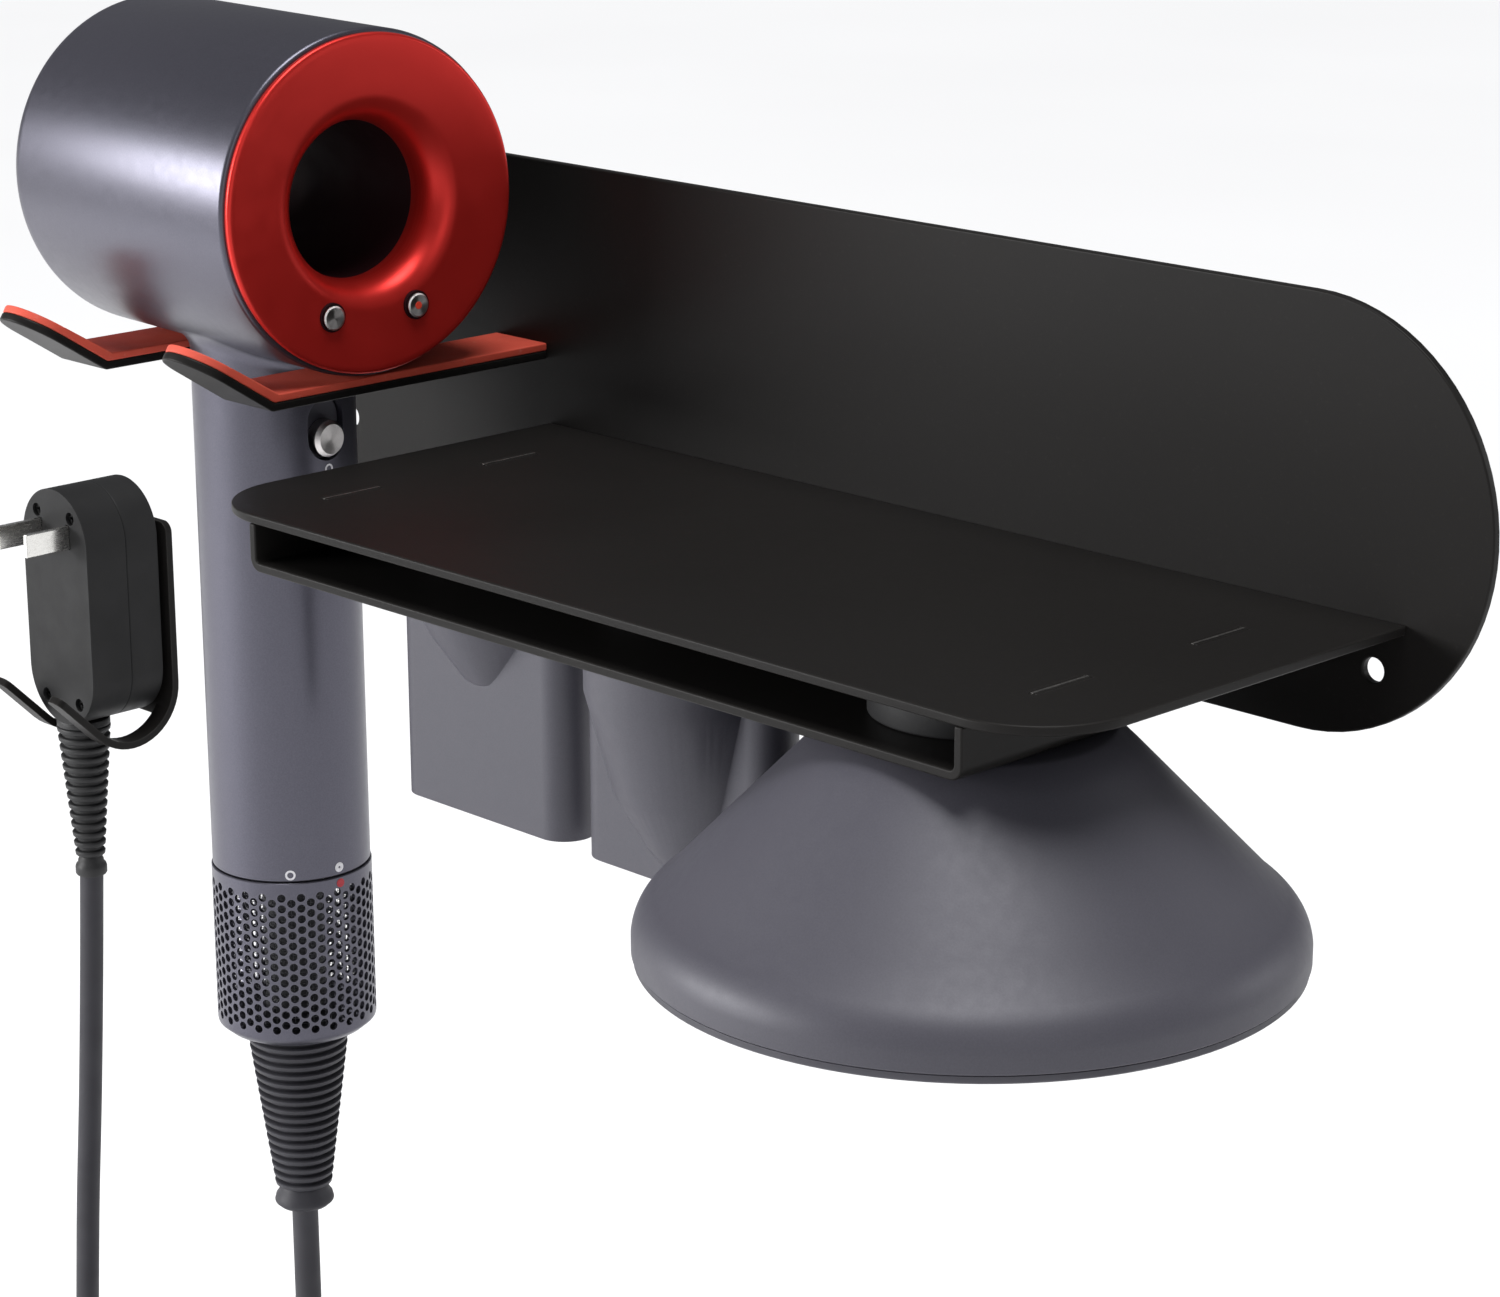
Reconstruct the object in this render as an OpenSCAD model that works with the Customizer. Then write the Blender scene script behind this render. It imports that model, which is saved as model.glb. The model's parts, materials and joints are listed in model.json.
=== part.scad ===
// Wall-mounted salon station: a folded steel holder with a shelf, a forked cradle that carries a
// hair dryer, a magnetic tray that carries its three attachments, and a hook for its plug.
// +Z is up, the wall is the plane y = 0, and the room is towards -Y. The origin is midway
// between the two wall screw holes, on the back face of the wall plate.

/* [Wall plate] */
// Length of the wall plate
plate_l = 368; // [362:1:380]
// Height of the wall plate, which is also the diameter of its round ends
plate_h = 88; // [84:1:92]
// Thickness of the steel sheet
steel_t = 2; // [1.5:0.5:2]
// Distance between the two wall screw holes
hole_pitch = 315; // [313:1:317]
// Diameter of a wall screw hole
hole_d = 5; // [4:0.5:6]
// Height of the screw holes above the bottom edge of the plate
hole_up = 15.5; // [14:0.5:18]

/* [Shelf and tray] */
// Length of the shelf
shelf_l = 247.5; // [240:0.5:248]
// Depth of the shelf in front of the plate
shelf_d = 104; // [100:1:110]
// Radius of the front corners of the shelf
shelf_r = 21; // [15:1:25]
// Height of the shelf's top face above the screw holes
shelf_z = 10.5; // [10:0.5:11]
// Position of the right end of the shelf
shelf_right = 165; // [164:1:166]
// Distance of each end wall of the tray from the end of the shelf
tray_inset = 20; // [18:1:22]
// Height of the tray, from its underside to the shelf's top face
tray_h = 12.5; // [12:0.5:13]
// Length of each welded tab
tab_l = 15.5; // [14:0.5:17]
// Distances of the two tab rows from the plate
tab_rows = [31, 76.5];
// Diameter of a holding magnet
magnet_d = 40; // [36:1:40]
// Height of a holding magnet
magnet_h = 6.5; // [5:0.5:7]

/* [Cradle] */
// Width of a cradle arm
arm_w = 18; // [16:1:19]
// Distance between the centres of the two arms
arm_pitch = 63; // [61:1:64]
// Height of the top of the cradle pads
pad_z = 29.5; // [28:0.5:32]
// Thickness of a cradle pad
pad_t = 1.8; // [1.5:0.1:2.5]
// Distance from the wall to the upward bend of an arm
arm_bend = 82; // [78:1:86]
// Length of the turned-up tip
tip_l = 24; // [20:1:26]
// Angle of the turned-up tip
tip_a = 33; // [28:1:33]

/* [Dryer] */
// Position of the handle's axis along the wall
dryer_x = -123.7; // [-124.5:0.1:-123]
// Distance of the handle's axis from the wall
dryer_y = 51.6; // [50:0.1:53]
// Turn of the dryer's inlet face towards the room
dryer_yaw = 4; // [0:0.5:5]
// Diameter of the dryer's head
head_d = 78; // [77:0.5:78]
// Inlet side length of the head, from the handle's axis
head_in = 41; // [40:0.5:42]
// Outlet side length of the head, from the handle's axis
head_out = 50; // [48:0.5:51]
// Diameter of the opening through the head
bore_d = 34; // [32:0.5:35]
// Diameter of the handle
handle_d = 38; // [37:0.5:38]
// Height of the seam above the filter cage
seam_z = -96; // [-97:0.5:-94]
// Height of the filter cage's lower face
cage_z = -138.5; // [-140:0.5:-137]
// Diameter of the filter cage
cage_d = 38.6; // [38.6:0.1:39]
// Diameter of a push button
button_d = 5.6; // [5:0.1:6]

/* [Attachments] */
// Positions of the three holding magnets along the wall
dock_x = [-38.8, 24.2, 120.3];
// Distances of the three holding magnets from the wall
dock_y = [56.7, 57.5, 75.8];
// Height of the lower face of both nozzles
nozzle_z = -62.5; // [-64:0.5:-60]
// Depth of a nozzle's flat blade
blade_t = 13.4; // [12:0.2:14]
// Diameter of the diffuser's rim
diffuser_d = 129.6; // [126:0.1:130]
// Height of the diffuser's lower face
diffuser_z = -49; // [-50:0.5:-48]

/* [Plug and lead] */
// Position of the plug along the wall
plug_x = -253.4; // [-254.4:0.5:-253.4]
// Width of the plug
plug_w = 29; // [28:0.5:29]
// Depth of the plug
plug_t = 23; // [22:0.5:23]
// Height of the plug's top
plug_top = -31; // [-32:0.5:-30]
// Height of the plug's body
plug_h = 65; // [63:0.5:65]
// Diameter of the lead
lead_d = 6.5; // [6:0.5:6.5]

/* [Hidden] */
$fn = 96;
gap = 0.3;

plate_z = -hole_up;
shelf_left = shelf_right - shelf_l;
shelf_front = -steel_t - shelf_d;
tray_z = shelf_z - tray_h;
tray_left = shelf_left + tray_inset;
tray_right = shelf_right - tray_inset;
tray_floor = tray_z + steel_t;
head_r = head_d / 2;
head_z = pad_z + gap + head_r;
handle_r = handle_d / 2;
cage_r = cage_d / 2;
bore_r = bore_d / 2;
duct_t = 1.2;
shell_t = 1.8;
ring_r = head_r - 1.2;
// Heater coils round the duct, between the handle and the outlet
heater_z = -43.5;
heater_l = 22;
// Buttons on the inlet face, either side of its middle and below it
button_y = 11.4;
button_z = -24.1;
button_reach = 5.5;
knob_z = 11.5;
knob_d = 9;
// Turn of the power switch round the handle, away from the wall side of the inlet face
knob_turn = 6;
// Motor stack in the lower handle, measured from the screw holes
motor_top = -55;
motor_bottom = -90;
dock_gap = 0.4;
dock_z = tray_z - dock_gap;
collar_r = 21;
collar_h = 7;
plug_z = plug_top - plug_h;
tape_t = 1;
hook_r = 13.5;
hook_y = -tape_t - steel_t - hook_r;
hook_z = -86.6;
plug_y = hook_y;
boot_x = plug_x - 2;
boot_y = -20.5;
blade_z = -43;
boot_len = 45;
flare_z = -187;
lead_r = lead_d / 2;

// Lead from the dryer's boot down and over into the coil
dryer_route = [
    [-123.7, -51.6, -187], [-123.7, -51.6, -197], [-123.7, -51.6, -206.5], [-123.9, -51.7, -215],
    [-126, -52.5, -223], [-131, -54, -231], [-138, -56, -237], [-146, -58, -240]
];
// Last stretch that leaves the coil
tail_route = [[-195.5, -45.5, -290], [-195.8, -45.3, -297], [-197, -44.8, -304], [-199.5, -43.5, -311]];
// Loop that hangs between the coil and the plug
loop_route = [
    [-200, -43.4, -312], [-205, -41.9, -318], [-212.5, -39.7, -323.3], [-222.5, -36.8, -326.6],
    [-233.5, -33.8, -326.9], [-244.3, -31.1, -323.6], [-253.2, -28.9, -316.3], [-258.7, -27.5, -306],
    [-260.7, -26.9, -293], [-260.7, -26.5, -280], [-260.6, -26.3, -273]
];
// Lead up to the plug's boot
plug_route = [
    [-260.6, -26.3, -272.7], [-259.3, -25, -240], [-257.7, -23.2, -205], [-256.4, -21.6, -170],
    [-255.4, -20.5, -141]
];
coil_at = [-150, -52, -286];
coil_in = 29.25;
coil_out = 48.75;
coil_w = 19.5;

// Sets its children on the dryer: local +X leaves the inlet face, and Z is the handle's axis
module on_dryer() {
    translate([dryer_x, -dryer_y, 0]) rotate([0, 0, -dryer_yaw]) children();
}

// Sets its children on the head's axis: local +Z leaves the inlet face
module on_head() {
    on_dryer() translate([0, 0, head_z]) rotate([0, 90, 0]) children();
}

module ring(outer, inner, height) {
    difference() {
        cylinder(r = outer, h = height);
        translate([0, 0, -1]) cylinder(r = inner, h = height + 2);
    }
}

// Flat outline with two round ends, standing in the X-Z plane and growing towards +Y
module upright_stadium(width, height, depth) {
    r = min(width, height) / 2;
    across = width / 2 - r;
    up = height / 2 - r;
    rotate([90, 0, 0]) translate([0, 0, -depth]) linear_extrude(depth) {
        translate([-across, -up]) circle(r);
        translate([across, up]) circle(r);
        square([across > 0 ? 2 * across : width, up > 0 ? 2 * up : height], center = true);
    }
}

// Round lead with eight sides, swept along a route
function direction(p, i) =
    let (a = p[max(i - 1, 0)], b = p[min(i + 1, len(p) - 1)]) (b - a) / norm(b - a);
function side_of(d) = let (s = cross(d, [0, 1, 0])) s / norm(s);
module swept_lead(route, r) {
    sides = 8;
    n = len(route);
    points = [
        for (i = [0 : n - 1])
            let (d = direction(route, i), s = side_of(d), t = cross(d, s))
            for (k = [0 : sides - 1]) route[i] + r * (cos(k * 45) * s + sin(k * 45) * t)
    ];
    walls = [
        for (i = [0 : n - 2])
            for (k = [0 : sides - 1])
                let (m = (k + 1) % sides)
                each [
                    [i * sides + k, (i + 1) * sides + k, (i + 1) * sides + m],
                    [i * sides + k, (i + 1) * sides + m, i * sides + m]
                ]
    ];
    first = [for (k = [0 : sides - 1]) k];
    last = [for (k = [sides - 1 : -1 : 0]) (n - 1) * sides + k];
    polyhedron(points, concat([first], [last], walls), convexity = 6);
}

// Holder

module back_plate() {
    color("#262423") difference() {
        translate([0, -steel_t, plate_z + plate_h / 2]) upright_stadium(plate_l, plate_h, steel_t);
        for (side = [-1, 1])
            translate([side * hole_pitch / 2, 1, 0]) rotate([90, 0, 0])
                cylinder(d = hole_d, h = steel_t + 2);
    }
}

module shelf_plate() {
    color("#1c1a19") difference() {
        translate([shelf_left, shelf_front, shelf_z - steel_t]) linear_extrude(steel_t) {
            translate([0, shelf_r]) square([shelf_l, shelf_d - shelf_r]);
            translate([shelf_r, 0]) square([shelf_l - 2 * shelf_r, shelf_d]);
            translate([shelf_r, shelf_r]) circle(shelf_r);
            translate([shelf_l - shelf_r, shelf_r]) circle(shelf_r);
        }
        tabs(0.05, shelf_z + 1);
    }
}

// The four tabs that stand up from the tray's end walls into the shelf
module tabs(play, top) {
    for (x = [tray_left, tray_right - steel_t], row = tab_rows)
        translate([x - play, -steel_t - row - tab_l / 2 - play, shelf_z - steel_t - play])
            cube([steel_t + 2 * play, tab_l + 2 * play, top - shelf_z + steel_t + play]);
}

module tray_channel() {
    bend_r = 3;
    color("#1f1d1c") {
        translate([0, -steel_t, 0]) rotate([90, 0, 0]) linear_extrude(shelf_d) difference() {
            tray_outline(0, bend_r);
            tray_outline(steel_t, bend_r - steel_t);
            translate([tray_left - 1, shelf_z - steel_t]) square([tray_right - tray_left + 2, 9]);
        }
        tabs(0, shelf_z);
    }
}

// Cross-section of the tray, drawn inwards by a wall thickness
module tray_outline(inward, r) {
    left = tray_left + inward;
    width = tray_right - tray_left - 2 * inward;
    translate([left, tray_z + inward + r]) square([width, tray_h + 2]);
    translate([left + r, tray_z + inward]) square([width - 2 * r, tray_h]);
    for (x = [left + r, left + width - r]) translate([x, tray_z + inward + r]) circle(r);
}

module tray_magnets() {
    color("#2b2b2d") for (i = [0 : 2]) at_dock(i) translate([0, 0, tray_floor]) {
        cylinder(d = magnet_d, h = magnet_h - 1);
        cylinder(d = magnet_d - 2, h = magnet_h);
    }
}

// Strip that runs out from the plate and turns up at its tip, above or below the pad's underside
module bent_strip(thick, lift) {
    translate([-arm_w / 2, -arm_bend, lift]) cube([arm_w, arm_bend - steel_t, thick]);
    translate([0, -arm_bend, 0]) rotate([-tip_a, 0, 0]) translate([0, 0, lift]) {
        translate([-arm_w / 2, -tip_l + arm_w / 2, 0]) cube([arm_w, tip_l - arm_w / 2, thick]);
        translate([0, -tip_l + arm_w / 2, 0]) cylinder(d = arm_w, h = thick);
    }
}

module cradle_arm(side) {
    color("#1b1a19") translate([dryer_x + side * arm_pitch / 2, 0, pad_z - pad_t]) {
        bent_strip(steel_t, -steel_t);
        translate([-arm_w / 2, -arm_bend, 0]) rotate([0, 90, 0]) intersection() {
            cylinder(r = steel_t, h = arm_w);
            translate([0, -steel_t, 0]) cube([steel_t, steel_t, arm_w]);
        }
    }
}

module cradle_pad(side) {
    color("#a03a2c") translate([dryer_x + side * arm_pitch / 2, 0, pad_z - pad_t]) bent_strip(pad_t, 0);
}

// Hook that carries the plug

module plug_bracket() {
    width = 31;
    slot = 19.4;
    finger_l = 18;
    top_z = -42;
    big = 3 * hook_r;
    color("#1c1b1a") difference() {
        union() {
            translate([plug_x - width / 2, -tape_t - steel_t, hook_z])
                cube([width, steel_t, top_z - hook_z - 3]);
            translate([plug_x - width / 2 + 3, -tape_t - steel_t, top_z - 4])
                cube([width - 6, steel_t, 4]);
            for (x = [-1, 1])
                translate([plug_x + x * (width / 2 - 3), -tape_t, top_z - 3]) rotate([90, 0, 0])
                    cylinder(r = 3, h = steel_t);
            translate([plug_x - width / 2, hook_y, hook_z]) rotate([0, 90, 0])
                linear_extrude(width) polygon(concat(
                    [for (a = [-45 : 7.5 : 90]) (hook_r + steel_t) * [cos(a), sin(a)]],
                    [for (a = [90 : -7.5 : -45]) hook_r * [cos(a), sin(a)]],
                    [for (r = [hook_r, hook_r + steel_t])
                        r * [cos(45), -sin(45)] - finger_l * [cos(45), sin(45)]]
                ));
        }
        translate([plug_x - slot / 2, -tape_t - steel_t - 1.6 - big, hook_z - 30]) cube([slot, big, 38]);
    }
}

module bracket_tape() {
    color("#8a8a88") translate([plug_x - 13.5, -tape_t, -85]) cube([27, tape_t, 40]);
}

// Dryer

module head_shell() {
    round_r = 6;
    color("#5b5a66") difference() {
        on_head() rotate_extrude() polygon(concat(
            [[head_r - shell_t, head_in], [head_r, head_in]],
            [for (a = [0 : 15 : 90])
                [head_r - round_r + round_r * cos(a), -head_out + round_r - round_r * sin(a)]],
            [[head_r - round_r - 1, -head_out], [head_r - round_r - 1, -head_out + shell_t],
                [head_r - round_r, -head_out + shell_t]],
            [for (a = [75 : -15 : 0])
                [head_r - round_r + (round_r - shell_t) * cos(a),
                    -head_out + round_r - (round_r - shell_t) * sin(a)]]
        ));
        on_dryer() translate([0, 0, head_z - head_r - 5]) cylinder(r = handle_r + 0.1, h = head_r);
    }
}

// Funnel-shaped red ring that closes the inlet end of the head
module inlet_ring() {
    face_r = 33;
    color("#8c2a26") difference() {
        on_head() rotate_extrude() polygon([
            [ring_r - 2.5, head_in - 3], [ring_r - 1, head_in - 3], [ring_r - 0.8, head_in],
            [head_r, head_in], [head_r - 0.2, head_in + 1], [ring_r - 0.4, head_in + 1.8],
            [ring_r - 1.6, head_in + 2], [face_r - 3, head_in + 1.4], [bore_r + 9, head_in],
            [bore_r + 5, head_in - 1.8], [bore_r + 2.2, head_in - 4.5], [bore_r + 0.6, head_in - 8],
            [bore_r, head_in - 12], [bore_r + duct_t, head_in - 12], [bore_r + 2, head_in - 8],
            [bore_r + 3.8, head_in - 5.5], [bore_r + 6.5, head_in - 3.2], [bore_r + 10, head_in - 2],
            [face_r - 3, head_in - 1]
        ]);
        for (side = [-1, 1]) button_place(side) translate([0, 0, -5]) cylinder(d = button_d + 0.5, h = 12);
    }
}

// A button's axis, with local +Z out of the inlet face
module button_place(side) {
    on_dryer() translate([head_in + 2, side * button_y, head_z + button_z]) rotate([0, 90, 0]) children();
}

module inner_duct() {
    color("#2a1214") on_head() translate([0, 0, -head_out]) ring(bore_r + duct_t, bore_r, head_out + head_in - 12);
}

module outlet_ring() {
    color("#3a3a42") on_head() translate([0, 0, -head_out]) difference() {
        cylinder(r = 29.5, h = 6);
        translate([0, 0, -1]) cylinder(r = bore_r + duct_t + 0.05, h = 8);
        translate([0, 0, 1.5]) ring(28, 20, 3);
    }
}

module outlet_magnets() {
    color("#707076") on_head() for (i = [0 : 7]) rotate([0, 0, i * 45])
        translate([24, 0, -head_out + 1.7]) cylinder(d = 5, h = 2.6);
}

module heater_ring() {
    color("#8a8378") on_head() {
        translate([0, 0, heater_z]) ring(21, 20, heater_l);
        translate([0, 0, heater_z]) ring(33, 32, heater_l);
        for (i = [0 : 23]) rotate([0, 0, i * 15])
            translate([20.5, -0.4, heater_z + 1]) cube([12, 0.8, heater_l - 2]);
    }
}

module control_board() {
    color("#1d4a2c") on_head() difference() {
        translate([0, 0, head_in - 9]) ring(35, 23, 1.6);
        translate([-40, -40, head_in - 10]) cube([36, 80, 4]);
    }
}

module button(side) {
    button_place(side) {
        translate([0, 0, -button_reach]) cylinder(d = button_d, h = button_reach + 0.6);
        translate([0, 0, 0.6]) cylinder(d = button_d - 0.8, h = 0.3);
    }
}

module speed_button() {
    color("#c4c2c4") button(-1);
}

module heat_button() {
    color("#c4c2c4") button(1);
}

module handle_tube() {
    top = head_z - head_r + 8;
    color("#55545f") on_dryer() difference() {
        translate([0, 0, seam_z + 0.2]) cylinder(r = handle_r, h = top - seam_z);
        translate([0, 0, seam_z - 1]) cylinder(r = handle_r - shell_t, h = top - seam_z + 3);
        on_handle() translate([0, 0, -3]) cylinder(d = knob_d + 2, h = 8);
        on_handle() translate([4.6, 0, -3]) cylinder(d = knob_d + 2, h = 8);
        on_handle() translate([0, -(knob_d + 2) / 2, -3]) cube([4.6, knob_d + 2, 8]);
    }
}

// Middle of the power switch on the handle's skin: local +Z leaves the handle, local +X is up
module on_handle() {
    rotate([0, 0, knob_turn]) translate([handle_r - 2, 0, knob_z]) rotate([90, -90, 90]) children();
}

module switch_plate() {
    color("#23232a") on_dryer() on_handle() translate([0, 0, -2.6]) {
        cylinder(d = knob_d + 1.6, h = 2);
        translate([4.6, 0, 0]) cylinder(d = knob_d + 1.6, h = 2);
        translate([0, -(knob_d + 1.6) / 2, 0]) cube([4.6, knob_d + 1.6, 2]);
    }
}

module power_switch() {
    color("#8e8784") on_dryer() on_handle() translate([0, 0, -0.4]) {
        cylinder(d = knob_d, h = 3.2);
        cylinder(d = knob_d - 1, h = 3.6);
    }
}

module motor_mount() {
    color("#1c1c1e") on_dryer() translate([0, 0, motor_bottom]) ring(handle_r - shell_t - 0.1, 15.3, motor_top - motor_bottom);
}

module motor_housing() {
    color("#b9b9bd") on_dryer() difference() {
        translate([0, 0, motor_bottom + 1]) cylinder(r = 15.2, h = motor_top - motor_bottom - 2);
        translate([0, 0, motor_bottom]) cylinder(r = 13.6, h = motor_top - motor_bottom);
    }
}

module motor_stator() {
    color("#9a5a34") on_dryer() difference() {
        translate([0, 0, -76]) cylinder(r = 13.5, h = 17);
        translate([0, 0, -77]) cylinder(r = 4.05, h = 19);
        for (i = [0 : 5]) rotate([0, 0, i * 60]) translate([9.3, 0, -77]) cylinder(r = 2.9, h = 19);
    }
}

module motor_bearings() {
    color("#c8c8cc") on_dryer() for (z = [-75.5, -62]) translate([0, 0, z]) ring(4, 1.55, 2.5);
}

module motor_shaft() {
    color("#d6d6da") on_dryer() translate([0, 0, -86]) cylinder(r = 1.5, h = 27);
}

module impeller() {
    blades = 13;
    color("#d9d9dc") on_dryer() translate([0, 0, -85]) {
        ring(5, 1.5, 7);
        for (i = [0 : blades - 1]) rotate([0, 0, i * 360 / blades])
            translate([4.6, -0.4, 0.5]) rotate([30, 0, 0]) cube([8, 0.8, 5]);
    }
}

module filter_screen() {
    color("#3a3a40") on_dryer() translate([0, 0, -134]) ring(17.4, 16.8, seam_z + 134);
}

module filter_cage() {
    wall = 1.2;
    cut = 2.5;
    top = seam_z;
    color("#4b4a55") on_dryer() rotate_extrude() polygon([
        [cage_r - wall, top], [cage_r, top], [cage_r, cage_z + cut], [cage_r - cut, cage_z],
        [12.9, cage_z], [12.9, cage_z + wall], [cage_r - cut, cage_z + wall],
        [cage_r - wall, cage_z + cut + 0.5]
    ]);
}

module cord_gland() {
    color("#2c2c32") on_dryer() difference() {
        translate([0, 0, -136.5]) cylinder(r = 16.6, h = 3);
        translate([0, 0, -137.5]) cylinder(r = 4, h = 5);
    }
}

module cord_boot() {
    color("#3f3e49") on_dryer() rotate_extrude() polygon([
        [0, -136.6], [12.3, -136.6], [12.3, -140], [6.8, flare_z + 4.6], [6.8, flare_z + 4],
        [7.2, flare_z + 3.4], [7.2, flare_z + 0.6], [6.8, flare_z], [0, flare_z]
    ]);
}

// Attachments

// Sets its children on the axis of one of the three docks
module at_dock(i) {
    translate([dock_x[i], -dock_y[i], 0]) children();
}

module collar(i, outer) {
    at_dock(i) translate([0, 0, dock_z - collar_h]) ring(outer, 15.5, collar_h);
}

// Flat outline of a nozzle's blade, with round ends
module blade_outline(width, depth) {
    square([width - depth, depth], center = true);
    for (side = [-1, 1]) translate([side * (width - depth) / 2, 0]) circle(depth / 2);
}

// Nozzle whose round collar runs down into a flat blade: cone lists radius and height
module nozzle(i, width, cone) {
    wall = 1.6;
    blade_top = -12;
    outer = cone[0][0];
    at_dock(i) difference() {
        union() {
            translate([0, 0, nozzle_z]) linear_extrude(blade_top - nozzle_z) blade_outline(width, blade_t);
            rotate_extrude() polygon(concat([[0, cone[len(cone) - 1][1]], [0, dock_z]], cone));
        }
        translate([0, 0, dock_z - collar_h]) cylinder(r = outer - wall, h = collar_h + 1);
        translate([0, 0, nozzle_z - 1]) linear_extrude(blade_top - wall - nozzle_z + 1)
            blade_outline(width - 2 * wall, blade_t - 2 * wall);
        translate([0, 0, -22]) cylinder(r = blade_t / 2 - wall, h = 22);
    }
}

module wide_nozzle_body() {
    color("#6f6e7a") nozzle(0, 56, [[20.5, dock_z], [19.9, -10], [15.1, -20.7], [8, -31], [5, -33]]);
}

module wide_nozzle_collar() {
    color("#2c2c30") collar(0, 18.7);
}

module smooth_nozzle_body() {
    color("#5e5d69") nozzle(1, 58, [[22.8, dock_z], [22.8, -20], [16.8, -42.7], [10, -55], [6, -60]]);
}

module smooth_nozzle_collar() {
    color("#2c2c30") collar(1, 21);
}

module diffuser_shell() {
    wall = 2;
    top = dock_z;
    rim = diffuser_d / 2;
    base = diffuser_z + 1.8;
    color("#5c5b66") at_dock(2) rotate_extrude() polygon([
        [collar_r, top], [27.5, top], [rim - 4.6, base + 11.2], [rim - 1.6, base + 8.6], [rim, base + 5.5],
        [rim, base], [rim - wall, base], [rim - wall, base + 5.5], [rim - wall - 1.4, base + 7.6],
        [rim - 7, base + 9.8], [33.5, top - collar_h - 2.2], [18, top - collar_h - 2.2],
        [18, top - collar_h], [collar_r, top - collar_h]
    ]);
}

// Recessed plate with two rings of fingers, closed by a thin flange under the rim
module diffuser_comb() {
    rim = diffuser_d / 2;
    plate_up = 9;
    color("#3c3b44") at_dock(2) translate([0, 0, diffuser_z]) {
        difference() {
            rotate_extrude() polygon([
                [6, plate_up], [rim - 9, plate_up], [rim - 6, 1.6], [rim - 0.4, 1.6], [rim - 0.4, 0.4],
                [rim - 0.8, 0], [rim - 7, 0], [rim - 10.2, plate_up - 1.6], [6, plate_up - 1.6]
            ]);
            for (r = [14, 26, 38, 50], i = [0 : r / 2 - 1]) rotate([0, 0, i * 720 / r])
                translate([r, 0, 0]) cylinder(d = 2.4, h = 12);
        }
        for (i = [0 : 5]) rotate([0, 0, i * 60 + 15]) translate([20, 0, 0.6]) cylinder(d = 5, h = 8);
        for (i = [0 : 11]) rotate([0, 0, i * 30 + 8]) translate([44, 0, 0.6]) cylinder(d = 5, h = 8);
    }
}

module diffuser_collar() {
    color("#2c2c30") collar(2, collar_r - 0.2);
}

// Plug

// One half of the plug's casing, between two distances from the plug's middle
module plug_half(front, back, floor_front) {
    wall = 2;
    mid = plug_z + plug_h / 2;
    difference() {
        translate([plug_x, plug_y - front, mid]) upright_stadium(plug_w, plug_h, front - back);
        translate([plug_x, plug_y - front + (floor_front ? wall : -1), mid])
            upright_stadium(plug_w - 2 * wall, plug_h - 2 * wall, front - back - wall + 1);
        translate([boot_x, boot_y, plug_z - 1]) cylinder(r = 4.5, h = 4);
    }
}

module plug_front_shell() {
    mid = plug_z + plug_h / 2;
    color("#323233") difference() {
        plug_half(plug_t / 2, -1, true);
        for (x = [-7.6, 7.6], z = [-25.7, 25.7])
            translate([plug_x + x, plug_y - plug_t / 2 + 3, mid + z]) rotate([90, 0, 0])
                cylinder(d = 3.6, h = 4);
        for (x = [-6.35, 6.35]) translate([plug_x + x - 0.85, plug_y - plug_t / 2 - 1, blade_z - 3.35])
            cube([1.7, 4, 6.7]);
    }
}

module plug_back_shell() {
    color("#2b2b2c") plug_half(-1 - gap / 3, -plug_t / 2, false);
}

module plug_blades() {
    color("#dcdcde") for (x = [-6.35, 6.35])
        translate([plug_x + x - 0.75, plug_y - plug_t / 2 - 13.5, blade_z - 3.2]) cube([1.5, 20.5, 6.4]);
}

module plug_screws() {
    mid = plug_z + plug_h / 2;
    color("#111112") for (x = [-7.6, 7.6], z = [-25.7, 25.7])
        translate([plug_x + x, plug_y - plug_t / 2 + 5, mid + z]) rotate([90, 0, 0]) difference() {
            cylinder(d = 3.3, h = 4);
            translate([-1.2, -0.3, 3]) cube([2.4, 0.6, 2]);
            translate([-0.3, -1.2, 3]) cube([0.6, 2.4, 2]);
        }
}

module plug_board() {
    color("#1d4a2c") translate([plug_x - 10, plug_y + 3, plug_z + 12]) cube([20, 1.6, 38]);
}

module plug_boot() {
    color("#2a2a2b") translate([boot_x, boot_y, 0]) rotate_extrude() polygon([
        [0, plug_z + 2], [4.2, plug_z + 2], [4.2, plug_z - 0.1], [7.4, plug_z - 0.1], [7.4, plug_z - 4],
        [4, plug_z - boot_len], [0, plug_z - boot_len]
    ]);
}

// Lead

module plug_lead() {
    color("#4a4950") swept_lead(plug_route, lead_r);
}

module lead_loop() {
    color("#4a4950") swept_lead(loop_route, lead_r);
}

module dryer_lead() {
    color("#4a4950") {
        swept_lead(dryer_route, lead_r);
        swept_lead(tail_route, lead_r);
    }
}

module lead_coil() {
    color("#4a4950") translate(coil_at) rotate([90, 0, 0]) translate([0, 0, -coil_w / 2])
        ring(coil_out, coil_in, coil_w);
}

module coil_tie() {
    color("#202022") translate([coil_at[0] - 6, coil_at[1], coil_at[2] + (coil_in + coil_out) / 2])
        difference() {
            translate([0, -coil_w / 2 - 1.4, -coil_w / 2 - 1.4]) cube([12, coil_w + 2.8, coil_w + 2.8]);
            translate([-1, -coil_w / 2, -coil_w / 2 - 0.8]) cube([14, coil_w, coil_w + 0.8]);
        }
}

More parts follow.
